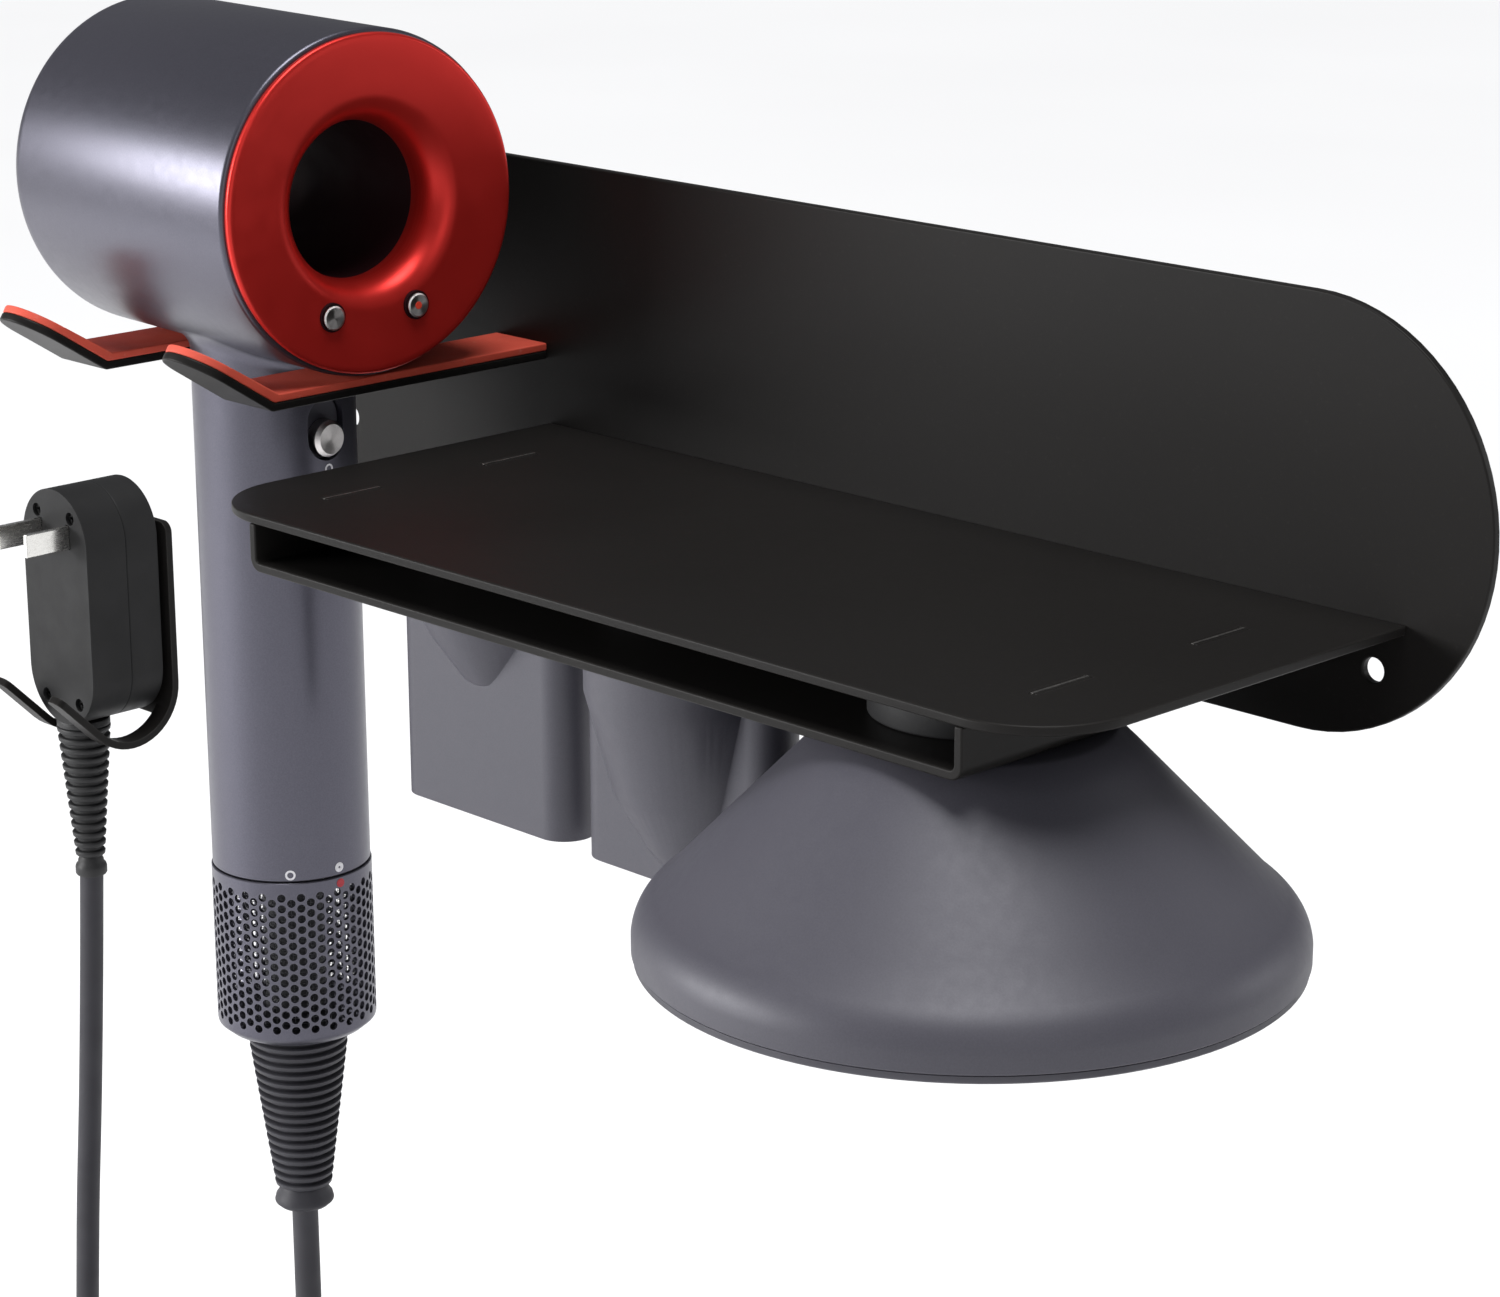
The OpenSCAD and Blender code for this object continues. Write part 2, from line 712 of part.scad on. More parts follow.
back_plate();
shelf_plate();
tray_channel();
tray_magnets();
cradle_arm(-1);  // cradle_arm_left
cradle_arm(1);  // cradle_arm_right
cradle_pad(-1);  // cradle_pad_left
cradle_pad(1);  // cradle_pad_right
plug_bracket();
bracket_tape();
head_shell();
inlet_ring();
inner_duct();
outlet_ring();
outlet_magnets();
heater_ring();
control_board();
speed_button();
heat_button();
handle_tube();
switch_plate();
power_switch();
motor_mount();
motor_housing();
motor_stator();
motor_bearings();
motor_shaft();
impeller();
filter_screen();
filter_cage();
cord_gland();
cord_boot();
wide_nozzle_body();
wide_nozzle_collar();
smooth_nozzle_body();
smooth_nozzle_collar();
diffuser_shell();
diffuser_comb();
diffuser_collar();
plug_front_shell();
plug_back_shell();
plug_blades();
plug_screws();
plug_board();
plug_boot();
plug_lead();
lead_loop();
dryer_lead();
lead_coil();
coil_tie();
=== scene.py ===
"""Looks of the wall-mounted hair dryer station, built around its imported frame.

Everything is in metres in the row frame: +Z up, the wall is the plane y = 0, the room is towards -Y.
"""

import json
import math

import bmesh
import bpy
from mathutils import Matrix, Vector


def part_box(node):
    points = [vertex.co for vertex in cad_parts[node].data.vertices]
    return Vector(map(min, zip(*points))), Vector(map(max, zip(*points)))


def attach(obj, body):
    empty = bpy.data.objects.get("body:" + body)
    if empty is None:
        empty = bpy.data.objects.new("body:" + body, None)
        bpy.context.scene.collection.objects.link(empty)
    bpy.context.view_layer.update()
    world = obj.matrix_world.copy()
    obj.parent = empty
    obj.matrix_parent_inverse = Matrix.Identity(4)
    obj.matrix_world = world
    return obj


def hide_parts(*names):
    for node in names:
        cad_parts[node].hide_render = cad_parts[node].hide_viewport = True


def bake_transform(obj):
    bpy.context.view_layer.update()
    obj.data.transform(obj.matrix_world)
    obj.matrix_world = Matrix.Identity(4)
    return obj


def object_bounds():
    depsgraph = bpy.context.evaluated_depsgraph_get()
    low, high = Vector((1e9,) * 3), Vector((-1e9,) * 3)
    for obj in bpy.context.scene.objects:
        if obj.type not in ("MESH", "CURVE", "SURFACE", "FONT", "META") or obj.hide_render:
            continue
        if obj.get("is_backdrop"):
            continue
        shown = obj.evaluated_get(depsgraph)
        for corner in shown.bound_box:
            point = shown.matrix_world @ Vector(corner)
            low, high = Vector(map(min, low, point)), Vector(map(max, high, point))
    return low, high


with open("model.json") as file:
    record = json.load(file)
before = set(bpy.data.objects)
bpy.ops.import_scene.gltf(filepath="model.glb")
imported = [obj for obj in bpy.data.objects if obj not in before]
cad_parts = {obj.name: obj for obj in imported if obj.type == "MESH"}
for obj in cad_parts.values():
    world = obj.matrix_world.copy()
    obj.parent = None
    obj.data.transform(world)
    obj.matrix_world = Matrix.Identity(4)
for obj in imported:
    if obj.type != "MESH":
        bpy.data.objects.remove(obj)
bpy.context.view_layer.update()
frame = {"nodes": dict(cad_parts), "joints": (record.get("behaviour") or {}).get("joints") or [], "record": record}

MM = 0.001
# Sides of an ordinary turned piece, and of the largest ones
ROUND, FINE_ROUND = 128, 192
# Mesh points closer than this are one point
SAME_POINT = 0.03 * MM


# ---- Mesh helpers ----


def linked(name, data):
    """A new object in the scene."""
    made = bpy.data.objects.new(name, data)
    bpy.context.scene.collection.objects.link(made)
    return made


def smooth(mesh, angle):
    """Smooth shading, apart from edges sharper than an angle in degrees."""
    mesh.shade_smooth()
    mesh.set_sharp_from_angle(angle=math.radians(angle))


def piece(name, points, faces, place=None, smooth_angle=35):
    """A mesh object from points and faces, with its normals turned outwards."""
    mesh = bpy.data.meshes.new(name)
    mesh.from_pydata(points, [], faces)
    work = bmesh.new()
    work.from_mesh(mesh)
    bmesh.ops.recalc_face_normals(work, faces=work.faces)
    work.to_mesh(mesh)
    work.free()
    smooth(mesh, smooth_angle)
    made = linked(name, mesh)
    if place is not None:
        made.matrix_world = place
    return made


def on_circle(radius, turn, height):
    return (radius * math.cos(turn), radius * math.sin(turn), height)


def numbered(rings, size):
    """Point numbers of consecutive rings of one size."""
    return [list(range(i * size, (i + 1) * size)) for i in range(rings)]


def bands(rings):
    """Faces between each closed ring of point numbers and the next."""
    faces = []
    for a, b in zip(rings, rings[1:]):
        for k in range(len(a)):
            m = (k + 1) % len(a)
            faces.append([a[k], a[m], b[m], b[k]])
    return faces


def lathe(name, outline, place=None, segments=ROUND, smooth_angle=35):
    """A closed outline of (radius, height) pairs turned about the local Z axis."""
    points, rings, faces = [], [], []
    for radius, height in outline:
        count = segments if radius > 1e-7 else 1
        rings.append((len(points), count))
        for k in range(count):
            points.append(on_circle(radius, 2 * math.pi * k / segments, height))
    for i, (start, count) in enumerate(rings):
        after, after_count = rings[(i + 1) % len(rings)]
        if count == 1 and after_count == 1:
            continue
        for k in range(segments):
            m = (k + 1) % segments
            corners = [start + k % count, start + m % count, after + m % after_count, after + k % after_count]
            faces.append(list(dict.fromkeys(corners)))
    return piece(name, points, faces, place, smooth_angle)


def arc(centre, radius, start, end, steps=6, tall=None):
    """Points along an arc, angles in degrees, or along an ellipse whose height has its own radius."""
    turns = [math.radians(start + (end - start) * i / steps) for i in range(steps + 1)]
    return [(centre[0] + radius * math.cos(t), centre[1] + (tall or radius) * math.sin(t)) for t in turns]


def curve(start, knee, end, steps):
    """Points along a curve that leaves its start and reaches its end pointing at the knee."""
    shares = [i / steps for i in range(steps + 1)]
    return [tuple((1 - t) ** 2 * start + 2 * t * (1 - t) * knee + t * t * end) for t in shares]


def rounded(corners, radius, steps=4):
    """A closed outline with each of its corners rounded by an arc that fits."""
    made = []
    for i, here in enumerate(corners):
        p = Vector(here)
        before = Vector(corners[i - 1]) - p
        after = Vector(corners[(i + 1) % len(corners)]) - p
        half = before.angle(after) / 2
        reach = min(radius / math.tan(half), before.length * 0.45, after.length * 0.45)
        if here[0] < 1e-7:
            made.append(tuple(p))
            continue
        made += curve(p + before.normalized() * reach, p, p + after.normalized() * reach, steps)
    return made


def swept(outline, height, name, place=None, edge=0.0):
    """A flat closed outline raised along local Z, with a small chamfer of the given size on its rims."""
    count = len(outline)
    centre = Vector((sum(p[0] for p in outline) / count, sum(p[1] for p in outline) / count))
    inner = [Vector(p) + (centre - Vector(p)).normalized() * edge for p in outline]
    layers = [(inner, 0), (outline, edge), (outline, height - edge), (inner, height)]
    points = [(p[0], p[1], z) for ring, z in layers for p in ring]
    rings = numbered(len(layers), count)
    return piece(name, points, [rings[0], rings[-1], *bands(rings)], place)


def flowing(route, step):
    """Points a given step apart on a smooth curve through a route."""
    ends = [2 * route[0] - route[1], *route, 2 * route[-1] - route[-2]]
    made = [route[0]]
    for i in range(1, len(ends) - 2):
        a, b, c, d = ends[i - 1 : i + 3]
        parts = max(1, round((c - b).length / step))
        for k in range(1, parts + 1):
            t = k / parts
            bend, twist = 2 * a - 5 * b + 4 * c - d, 3 * b - a - 3 * c + d
            made.append((2 * b + (c - a) * t + bend * t * t + twist * t**3) / 2)
    return made


def tube(name, line, radius, sides=16):
    """A round closed tube along a line of points, without twist."""
    points = []
    side = None
    for i, p in enumerate(line):
        along = (line[min(i + 1, len(line) - 1)] - line[max(i - 1, 0)]).normalized()
        guess = Vector((0, 1, 0)) if side is None else side
        side = (guess - guess.dot(along) * along).normalized()
        up = along.cross(side)
        for k in range(sides):
            turn = 2 * math.pi * k / sides
            points.append(p + radius * (math.cos(turn) * side + math.sin(turn) * up))
    rings = numbered(len(line), sides)
    return piece(name, points, [*bands(rings), rings[0], rings[-1]])


def apply_modifiers(made):
    """Bakes a piece's modifiers into its mesh."""
    bpy.context.view_layer.update()
    shown = made.evaluated_get(bpy.context.evaluated_depsgraph_get())
    mesh = bpy.data.meshes.new_from_object(shown)
    made.modifiers.clear()
    made.data = mesh


def cut_out(made, cutter):
    """Takes a cutter's volume out of a piece, and the cutter out of the scene."""
    boolean = made.modifiers.new("cut", "BOOLEAN")
    boolean.object = cutter
    boolean.operation = "DIFFERENCE"
    boolean.solver = "EXACT"
    apply_modifiers(made)
    bpy.data.objects.remove(cutter)


def softened(node, name, width, segments=3, angle=30, shape=None):
    """A copy of a CAD node, reshaped if asked, whose edges are rounded over, which stands for the node."""
    work = bmesh.new()
    work.from_mesh(frame["nodes"][node].data)
    bmesh.ops.remove_doubles(work, verts=work.verts, dist=SAME_POINT)
    bmesh.ops.dissolve_limit(work, angle_limit=math.radians(1), verts=work.verts, edges=work.edges)
    if shape:
        shape(work)
    mesh = bpy.data.meshes.new(name)
    work.to_mesh(mesh)
    work.free()
    mesh.shade_smooth()
    made = linked(name, mesh)
    bevel = made.modifiers.new("edge", "BEVEL")
    bevel.width = width
    bevel.segments = segments
    bevel.limit_method = "ANGLE"
    bevel.angle_limit = math.radians(angle)
    bevel.use_clamp_overlap = True
    even = made.modifiers.new("even", "WEIGHTED_NORMAL")
    even.mode = "FACE_AREA"
    apply_modifiers(made)
    made.data.materials.clear()
    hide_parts(node)
    return made


def middle(node):
    low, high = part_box(node)
    return (low + high) / 2


def dress(made, material, body, replaces=()):
    """Gives a piece its material, its body, and what it stands for."""
    made.data.materials.clear()
    made.data.materials.append(material)
    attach(made, body)
    if replaces:
        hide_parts(*replaces)
    return made


# ---- Materials ----


class Finish:
    """A Principled material whose colour, roughness and bump vary over the surface."""

    def __init__(self, name, metallic=0.0, roughness=0.5, **sockets):
        self.made = bpy.data.materials.new(name)
        self.made.use_nodes = True
        self.tree = self.made.node_tree
        self.shader = self.tree.nodes["Principled BSDF"]
        self.shader.inputs["Metallic"].default_value = metallic
        self.shader.inputs["Roughness"].default_value = roughness
        for socket, value in sockets.items():
            self.shader.inputs[socket.replace("_", " ")].default_value = value
        place = self.tree.nodes.new("ShaderNodeTexCoord")
        self.place = place.outputs["Object"]
        self.height = None

    def add(self, kind, **settings):
        node = self.tree.nodes.new(kind)
        for key, value in settings.items():
            setattr(node, key, value)
        return node

    def link(self, out, into):
        self.tree.links.new(out, into)

    def noise(self, size, detail=4.0, roughness=0.55, stretch=None):
        """Noise with features of about the given size in metres, stretched along an axis if asked."""
        source = self.place
        if stretch:
            scaled = self.add("ShaderNodeVectorMath", operation="MULTIPLY")
            scaled.inputs[1].default_value = stretch
            self.link(self.place, scaled.inputs[0])
            source = scaled.outputs["Vector"]
        made = self.add("ShaderNodeTexNoise")
        made.inputs["Scale"].default_value = 1 / size
        made.inputs["Detail"].default_value = detail
        made.inputs["Roughness"].default_value = roughness
        self.link(source, made.inputs["Vector"])
        return made.outputs["Fac"]

    def spread(self, value, low, high, start=0.3, end=0.7):
        """Maps a 0 to 1 value onto a range."""
        made = self.add("ShaderNodeMapRange")
        for socket, number in (("From Min", start), ("From Max", end), ("To Min", low), ("To Max", high)):
            made.inputs[socket].default_value = number
        self.link(value, made.inputs["Value"])
        return made.outputs["Result"]

    def mix(self, share, one, other):
        """A colour between two colours, each (red, green, blue) or an output."""
        made = self.add("ShaderNodeMix", data_type="RGBA")
        self.link(share, made.inputs["Factor"])
        for socket, colour in ((6, one), (7, other)):
            if isinstance(colour, tuple):
                made.inputs[socket].default_value = (*colour, 1)
            else:
                self.link(colour, made.inputs[socket])
        return made.outputs[2]

    def times(self, value, factor):
        made = self.add("ShaderNodeMath", operation="MULTIPLY")
        self.link(value, made.inputs[0])
        if isinstance(factor, (int, float)):
            made.inputs[1].default_value = factor
        else:
            self.link(factor, made.inputs[1])
        return made.outputs[0]

    def clouded(self, size, dark, light, detail=4.0):
        """A colour that drifts between two over patches of about the given size."""
        return self.mix(self.spread(self.noise(size, detail), 0, 1), dark, light)

    def edge_wear_and_highlight(self, base, radius, share, pale):
        """A colour that turns paler along convex edges, by a share that is a number or an output: rubbed wear, and
        on the powder coat also a painted highlight.
        """
        return self.mix(self.times(self.edges(radius), share), base, pale)

    def turned_rings(self, scale, distortion):
        """Rings round the local Z axis, with highlights that run out from that axis."""
        tangent = self.add("ShaderNodeTangent", direction_type="RADIAL", axis="Z")
        self.link(tangent.outputs["Tangent"], self.shader.inputs["Tangent"])
        rings = self.add("ShaderNodeTexWave", wave_type="RINGS", rings_direction="Z", wave_profile="SIN")
        rings.inputs["Scale"].default_value = scale
        rings.inputs["Distortion"].default_value = distortion
        self.link(self.place, rings.inputs["Vector"])
        return rings.outputs["Fac"]

    def edges(self, radius):
        """Close to 1 along convex edges within a radius, 0 on open faces."""
        soft = self.add("ShaderNodeBevel", samples=4)
        soft.inputs["Radius"].default_value = radius
        flat = self.add("ShaderNodeNewGeometry")
        dot = self.add("ShaderNodeVectorMath", operation="DOT_PRODUCT")
        self.link(soft.outputs["Normal"], dot.inputs[0])
        self.link(flat.outputs["Normal"], dot.inputs[1])
        return self.spread(dot.outputs["Value"], 1.0, 0.0, 0.75, 0.985)

    def colour(self, output):
        self.link(output, self.shader.inputs["Base Color"])

    def roughness(self, output):
        self.link(output, self.shader.inputs["Roughness"])

    def bump(self, output, depth, strength=1.0):
        """Adds relief of the given depth in metres."""
        made = self.add("ShaderNodeBump")
        made.inputs["Strength"].default_value = strength
        made.inputs["Distance"].default_value = depth
        self.link(output, made.inputs["Height"])
        if self.height is not None:
            self.link(self.height, made.inputs["Normal"])
        self.height = made.outputs["Normal"]
        self.link(self.height, self.shader.inputs["Normal"])


def powder_steel():
    """Near-black powder coat: a fine orange peel, a little dust, and paler edges, partly rubbed wear and partly a
    painted highlight.
    """
    m = Finish("powder_steel", roughness=0.45, Specular_IOR_Level=0.12)
    base = m.clouded(0.16, (0.0095, 0.0087, 0.0083), (0.0115, 0.0106, 0.0100), 2)
    base = m.mix(m.spread(m.noise(0.0009, 2), 0, 0.25, 0.62, 0.78), base, (0.030, 0.028, 0.027))
    # Paler edges: partly rubbed wear, partly a painted highlight along the steel's edges
    m.colour(m.edge_wear_and_highlight(base, 0.0006, m.spread(m.noise(0.012), 0.5, 0.95), (0.060, 0.057, 0.054)))
    m.roughness(m.spread(m.noise(0.05), 0.40, 0.47))
    m.bump(m.noise(0.0011, 2), 0.00002, 0.4)
    m.bump(m.noise(0.0004, 1), 0.00001, 0.4)
    return m.made


def silicone_pad():
    """Matte brick-red silicone that holds a little dust."""
    m = Finish("silicone_pad", roughness=0.62, Specular_IOR_Level=0.35)
    base = m.clouded(0.02, (0.60, 0.075, 0.045), (0.70, 0.10, 0.060))
    dust = m.times(m.spread(m.noise(0.0014, 3), 0, 1, 0.62, 0.8), 0.30)
    base = m.mix(dust, base, (0.68, 0.34, 0.27))
    m.colour(m.edge_wear_and_highlight(base, 0.0005, 0.5, (0.78, 0.15, 0.09)))
    m.roughness(m.spread(m.noise(0.008), 0.52, 0.72))
    m.bump(m.noise(0.0007, 3), 0.00003, 0.6)
    return m.made


def satin_metal(name, dark, light, roughness, metallic, edge):
    """Satin painted metal with a very fine grain and faint cloudiness."""
    m = Finish(name, metallic=metallic, roughness=roughness, Specular_IOR_Level=0.5)
    grain = m.noise(0.00035, 2)
    base = m.mix(m.spread(grain, 0, 0.16), m.clouded(0.12, dark, light, 1), edge)
    m.colour(m.edge_wear_and_highlight(base, 0.0005, 0.35, edge))
    m.roughness(m.spread(m.noise(0.0025, 2), roughness - 0.02, roughness + 0.02))
    m.bump(grain, 0.000008, 0.5)
    return m.made


def inlet_red():
    """Anodised red metal, turned on a lathe."""
    m = Finish("inlet_red", metallic=0.65, roughness=0.40, Anisotropic=0.4)
    rings = m.turned_rings(1400, 0.6)
    base = m.clouded(0.03, (0.58, 0.018, 0.014), (0.64, 0.023, 0.018))
    m.colour(m.mix(m.times(rings, 0.10), base, (0.72, 0.08, 0.06)))
    m.roughness(m.spread(m.noise(0.005), 0.34, 0.42))
    m.bump(rings, 0.000003, 0.4)
    return m.made


def spun_metal():
    """Turned metal button caps: fine rings that gather the light into two fans."""
    m = Finish("spun_metal", metallic=1.0, roughness=0.34, Anisotropic=0.9)
    rings = m.turned_rings(3600, 0.3)
    base = m.clouded(0.002, (0.74, 0.71, 0.70), (0.84, 0.81, 0.80))
    m.colour(m.mix(m.times(rings, 0.35), base, (0.30, 0.28, 0.27)))
    m.roughness(m.spread(rings, 0.30, 0.40, 0, 1))
    m.bump(rings, 0.000006, 0.5)
    return m.made


def moulded(name, dark, light, roughness, grain=0.0006, depth=0.00002, level=0.4):
    """Moulded plastic or rubber with a spark-eroded texture and worn edges."""
    m = Finish(name, roughness=roughness, Specular_IOR_Level=level)
    pale = tuple(min(1.0, c * 2.2) for c in light)
    m.colour(m.edge_wear_and_highlight(m.clouded(0.025, dark, light, 3), 0.0006, 0.30, pale))
    m.roughness(m.spread(m.noise(0.007), roughness - 0.07, roughness + 0.07))
    m.bump(m.noise(grain, 3), depth, 0.6)
    return m.made


def plain_metal(name, dark, light, roughness, stretch=None):
    """Bright metal with machining or drawing marks."""
    m = Finish(name, metallic=1.0, roughness=roughness)
    marks = m.noise(0.0008, 4, 0.6, stretch)
    m.colour(m.mix(m.spread(marks, 0, 1), dark, light))
    m.roughness(m.spread(m.noise(0.002, 4, 0.6, stretch), roughness - 0.08, roughness + 0.10))
    m.bump(marks, 0.000006, 0.5)
    return m.made


def copper_winding():
    """Enamelled copper wire laid side by side."""
    m = Finish("copper_winding", metallic=0.85, roughness=0.35, Coat_Weight=0.4)
    wires = m.add("ShaderNodeTexWave", wave_type="BANDS", bands_direction="Z")
    wires.inputs["Scale"].default_value = 900
    wires.inputs["Distortion"].default_value = 0.8
    m.link(m.place, wires.inputs["Vector"])
    m.colour(m.mix(wires.outputs["Fac"], (0.22, 0.065, 0.025), (0.66, 0.27, 0.11)))
    m.roughness(m.spread(m.noise(0.003), 0.28, 0.42))
    m.bump(wires.outputs["Fac"], 0.0001, 0.7)
    return m.made


def circuit_board():
    """Green solder mask over copper tracks."""
    m = Finish("circuit_board", roughness=0.38, Coat_Weight=0.2)
    tracks = m.add("ShaderNodeTexBrick", offset=0.37)
    for socket, value in (("Scale", 260.0), ("Mortar Size", 0.03), ("Mortar Smooth", 0.2)):
        tracks.inputs[socket].default_value = value
    m.link(m.place, tracks.inputs["Vector"])
    m.colour(m.mix(tracks.outputs["Fac"], (0.012, 0.085, 0.03), (0.05, 0.22, 0.08)))
    m.roughness(m.spread(m.noise(0.004), 0.30, 0.46))
    m.bump(tracks.outputs["Fac"], 0.00004, 0.6)
    return m.made


def mark_paint(name, dark, light):
    """Printed marks, a little uneven."""
    m = Finish(name, roughness=0.5)
    m.colour(m.clouded(0.0008, dark, light))
    m.roughness(m.spread(m.noise(0.0006), 0.42, 0.6))
    m.bump(m.noise(0.0003), 0.000005, 0.4)
    return m.made


# Each row is dark colour, light colour and roughness, then for mouldings the size and depth of the grain
# and the shine, for satin paint how metallic it is and its worn colour, for bare metal its marks' stretch
MOULDED = {
    "rubber_black": ((0.012, 0.012, 0.013), (0.022, 0.022, 0.023), 0.6),
    "adhesive": ((0.20, 0.20, 0.19), (0.30, 0.30, 0.29), 0.8, 0.0009, 0.0001),
    "duct_dark": ((0.016, 0.0045, 0.006), (0.022, 0.006, 0.008), 0.6, 0.001, 0.00001, 0.05),
    "outlet_black": ((0.020, 0.020, 0.025), (0.032, 0.032, 0.038), 0.45),
    "comb_grey": ((0.045, 0.044, 0.055), (0.062, 0.060, 0.074), 0.5),
    "plug_plastic": ((0.014, 0.014, 0.0145), (0.020, 0.020, 0.0205), 0.55, 0.0008, 0.00003, 0.18),
    "lead_rubber": ((0.026, 0.025, 0.031), (0.036, 0.035, 0.043), 0.58, 0.0005, 0.00002),
    "lead_black": ((0.012, 0.012, 0.013), (0.022, 0.022, 0.023), 0.55, 0.0005, 0.00002),
}
SATIN = {
    "dryer_grey": ((0.088, 0.086, 0.109), (0.097, 0.095, 0.120), 0.34, 0.78, (0.20, 0.195, 0.235)),
    "attachment_grey": ((0.056, 0.054, 0.069), (0.062, 0.060, 0.076), 0.50, 0.15, (0.12, 0.117, 0.14)),
}
BARE = {
    "magnet_steel": ((0.30, 0.30, 0.32), (0.52, 0.52, 0.54), 0.32),
    "heater_mica": ((0.30, 0.22, 0.12), (0.52, 0.42, 0.28), 0.45, (1, 1, 8)),
    "motor_metal": ((0.42, 0.42, 0.44), (0.62, 0.62, 0.64), 0.34, (1, 1, 12)),
    "filter_mesh": ((0.10, 0.10, 0.11), (0.22, 0.22, 0.24), 0.45),
    "plug_brass": ((0.66, 0.65, 0.62), (0.84, 0.83, 0.80), 0.22, (1, 1, 10)),
    "screw_black": ((0.012, 0.012, 0.012), (0.04, 0.04, 0.04), 0.40),
}
LOOK = {
    "powder_steel": powder_steel(),
    "silicone_pad": silicone_pad(),
    "inlet_red": inlet_red(),
    "spun_metal": spun_metal(),
    "copper_winding": copper_winding(),
    "circuit_board": circuit_board(),
}
for recipe, kinds in ((moulded, MOULDED), (satin_metal, SATIN), (plain_metal, BARE)):
    LOOK.update({name: recipe(name, *numbers) for name, numbers in kinds.items()})
# Pale metal for the tab edges on the shelf: a painted highlight
PALE_STEEL_HIGHLIGHT = plain_metal("tab_edge_painted_highlight", (0.16, 0.155, 0.15), (0.30, 0.29, 0.28), 0.42)
MARK_WHITE = mark_paint("mark_white", (0.62, 0.61, 0.64), (0.80, 0.79, 0.82))
MARK_RED = mark_paint("mark_red", (0.32, 0.01, 0.02), (0.45, 0.02, 0.035))
HEAT_RED = mark_paint("heat_red", (0.75, 0.05, 0.025), (0.90, 0.08, 0.04))

NODE_SLOT = {s["node"]: s["material_slot"] for s in frame["record"]["subparts"]}
for node_name, node_object in frame["nodes"].items():
    node_object.data.materials.clear()
    node_object.data.materials.append(LOOK[NODE_SLOT[node_name]])
BODY_OF = {n: b for b, members in frame["record"]["behaviour"]["bodies"].items() for n in members}


def soft_node(node, width, segments=3, angle=30, shape=None):
    """The usual treatment of a CAD node with visible edges."""
    made = softened(node, node + "_finished", width, segments, angle, shape)
    made.data.materials.append(LOOK[NODE_SLOT[node]])
    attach(made, BODY_OF[node])
    return made


def turned_node(name, outline, place, node, look=None, segments=ROUND, smooth_angle=35):
    """A lathe piece that stands for one CAD node."""
    made = lathe(name, outline, place, segments, smooth_angle)
    return dress(made, look or LOOK[NODE_SLOT[node]], BODY_OF[node], [node])


# ---- Camera ----

CAMERA_AT = Vector((0.5845, -0.5873, 0.2126))
CAMERA_AZIMUTH = 45.70
CAMERA_ELEVATION = 16.22
CAMERA_ROLL = -0.17
CAMERA_LENS = 92.3
CAMERA_SENSOR = 36


def make_camera():
    data = bpy.data.cameras.new("camera")
    data.lens = CAMERA_LENS
    data.sensor_width = CAMERA_SENSOR
    data.clip_start = 0.05
    data.clip_end = 60
    camera = linked("camera", data)
    azimuth, elevation = math.radians(CAMERA_AZIMUTH), math.radians(CAMERA_ELEVATION)
    level = math.cos(elevation)
    back = Vector((math.sin(azimuth) * level, -math.cos(azimuth) * level, math.sin(elevation)))
    turn = (-back).to_track_quat("-Z", "Y").to_matrix() @ Matrix.Rotation(math.radians(CAMERA_ROLL), 3, "Z")
    camera.matrix_world = Matrix.Translation(CAMERA_AT) @ turn.to_4x4()
    bpy.context.scene.camera = camera


make_camera()

# ---- Cords: one lead from the dryer to the plug, its spare length in a coil below the view ----

LEAD_D = 6.5 * MM
LEAD_STEP = 2.5 * MM


def route(*points):
    return [Vector(p) * MM for p in points]


DRYER_ROUTE = route(
    (-123.7, -51.6, -187),
    (-123.7, -51.6, -197),
    (-123.7, -51.6, -206.5),
    (-123.9, -51.7, -215),
    (-126, -52.5, -223),
    (-131, -54, -231),
    (-138, -56, -237),
    (-146, -58, -240),
)
TAIL_ROUTE = route((-195.5, -45.5, -290), (-195.8, -45.3, -297), (-197, -44.8, -304), (-199.5, -43.5, -311))
LOOP_ROUTE = route(
    (-200, -43.4, -312),
    (-205, -41.9, -318),
    (-212.5, -39.7, -323.3),
    (-222.5, -36.8, -326.6),
    (-233.5, -33.8, -326.9),
    (-244.3, -31.1, -323.6),
    (-253.2, -28.9, -316.3),
    (-258.7, -27.5, -306),
    (-260.7, -26.9, -293),
    (-260.7, -26.5, -280),
    (-260.6, -26.3, -273),
)
PLUG_ROUTE = route(
    (-260.6, -26.3, -272.7),
    (-259.3, -25, -240),
    (-257.7, -23.2, -205),
    (-256.4, -21.6, -170),
    (-255.4, -20.5, -141),
)

# The coil's strands in the order they are wound: row across the coil, layer from the outside in,
# and the angle at which the strand has moved over to the next place
COIL_PLACES = ((0, 0), (0, 1), (0, 2), (1, 2), (2, 2), (2, 1), (1, 1), (1, 0), (2, 0))
COIL_MOVED = (360, 720, 1050, 1410, 1740, 2070, 2400, 2730)
COIL_END = 2970
COIL_MOVE = 80
COIL_POINTS_PER_TURN = 48


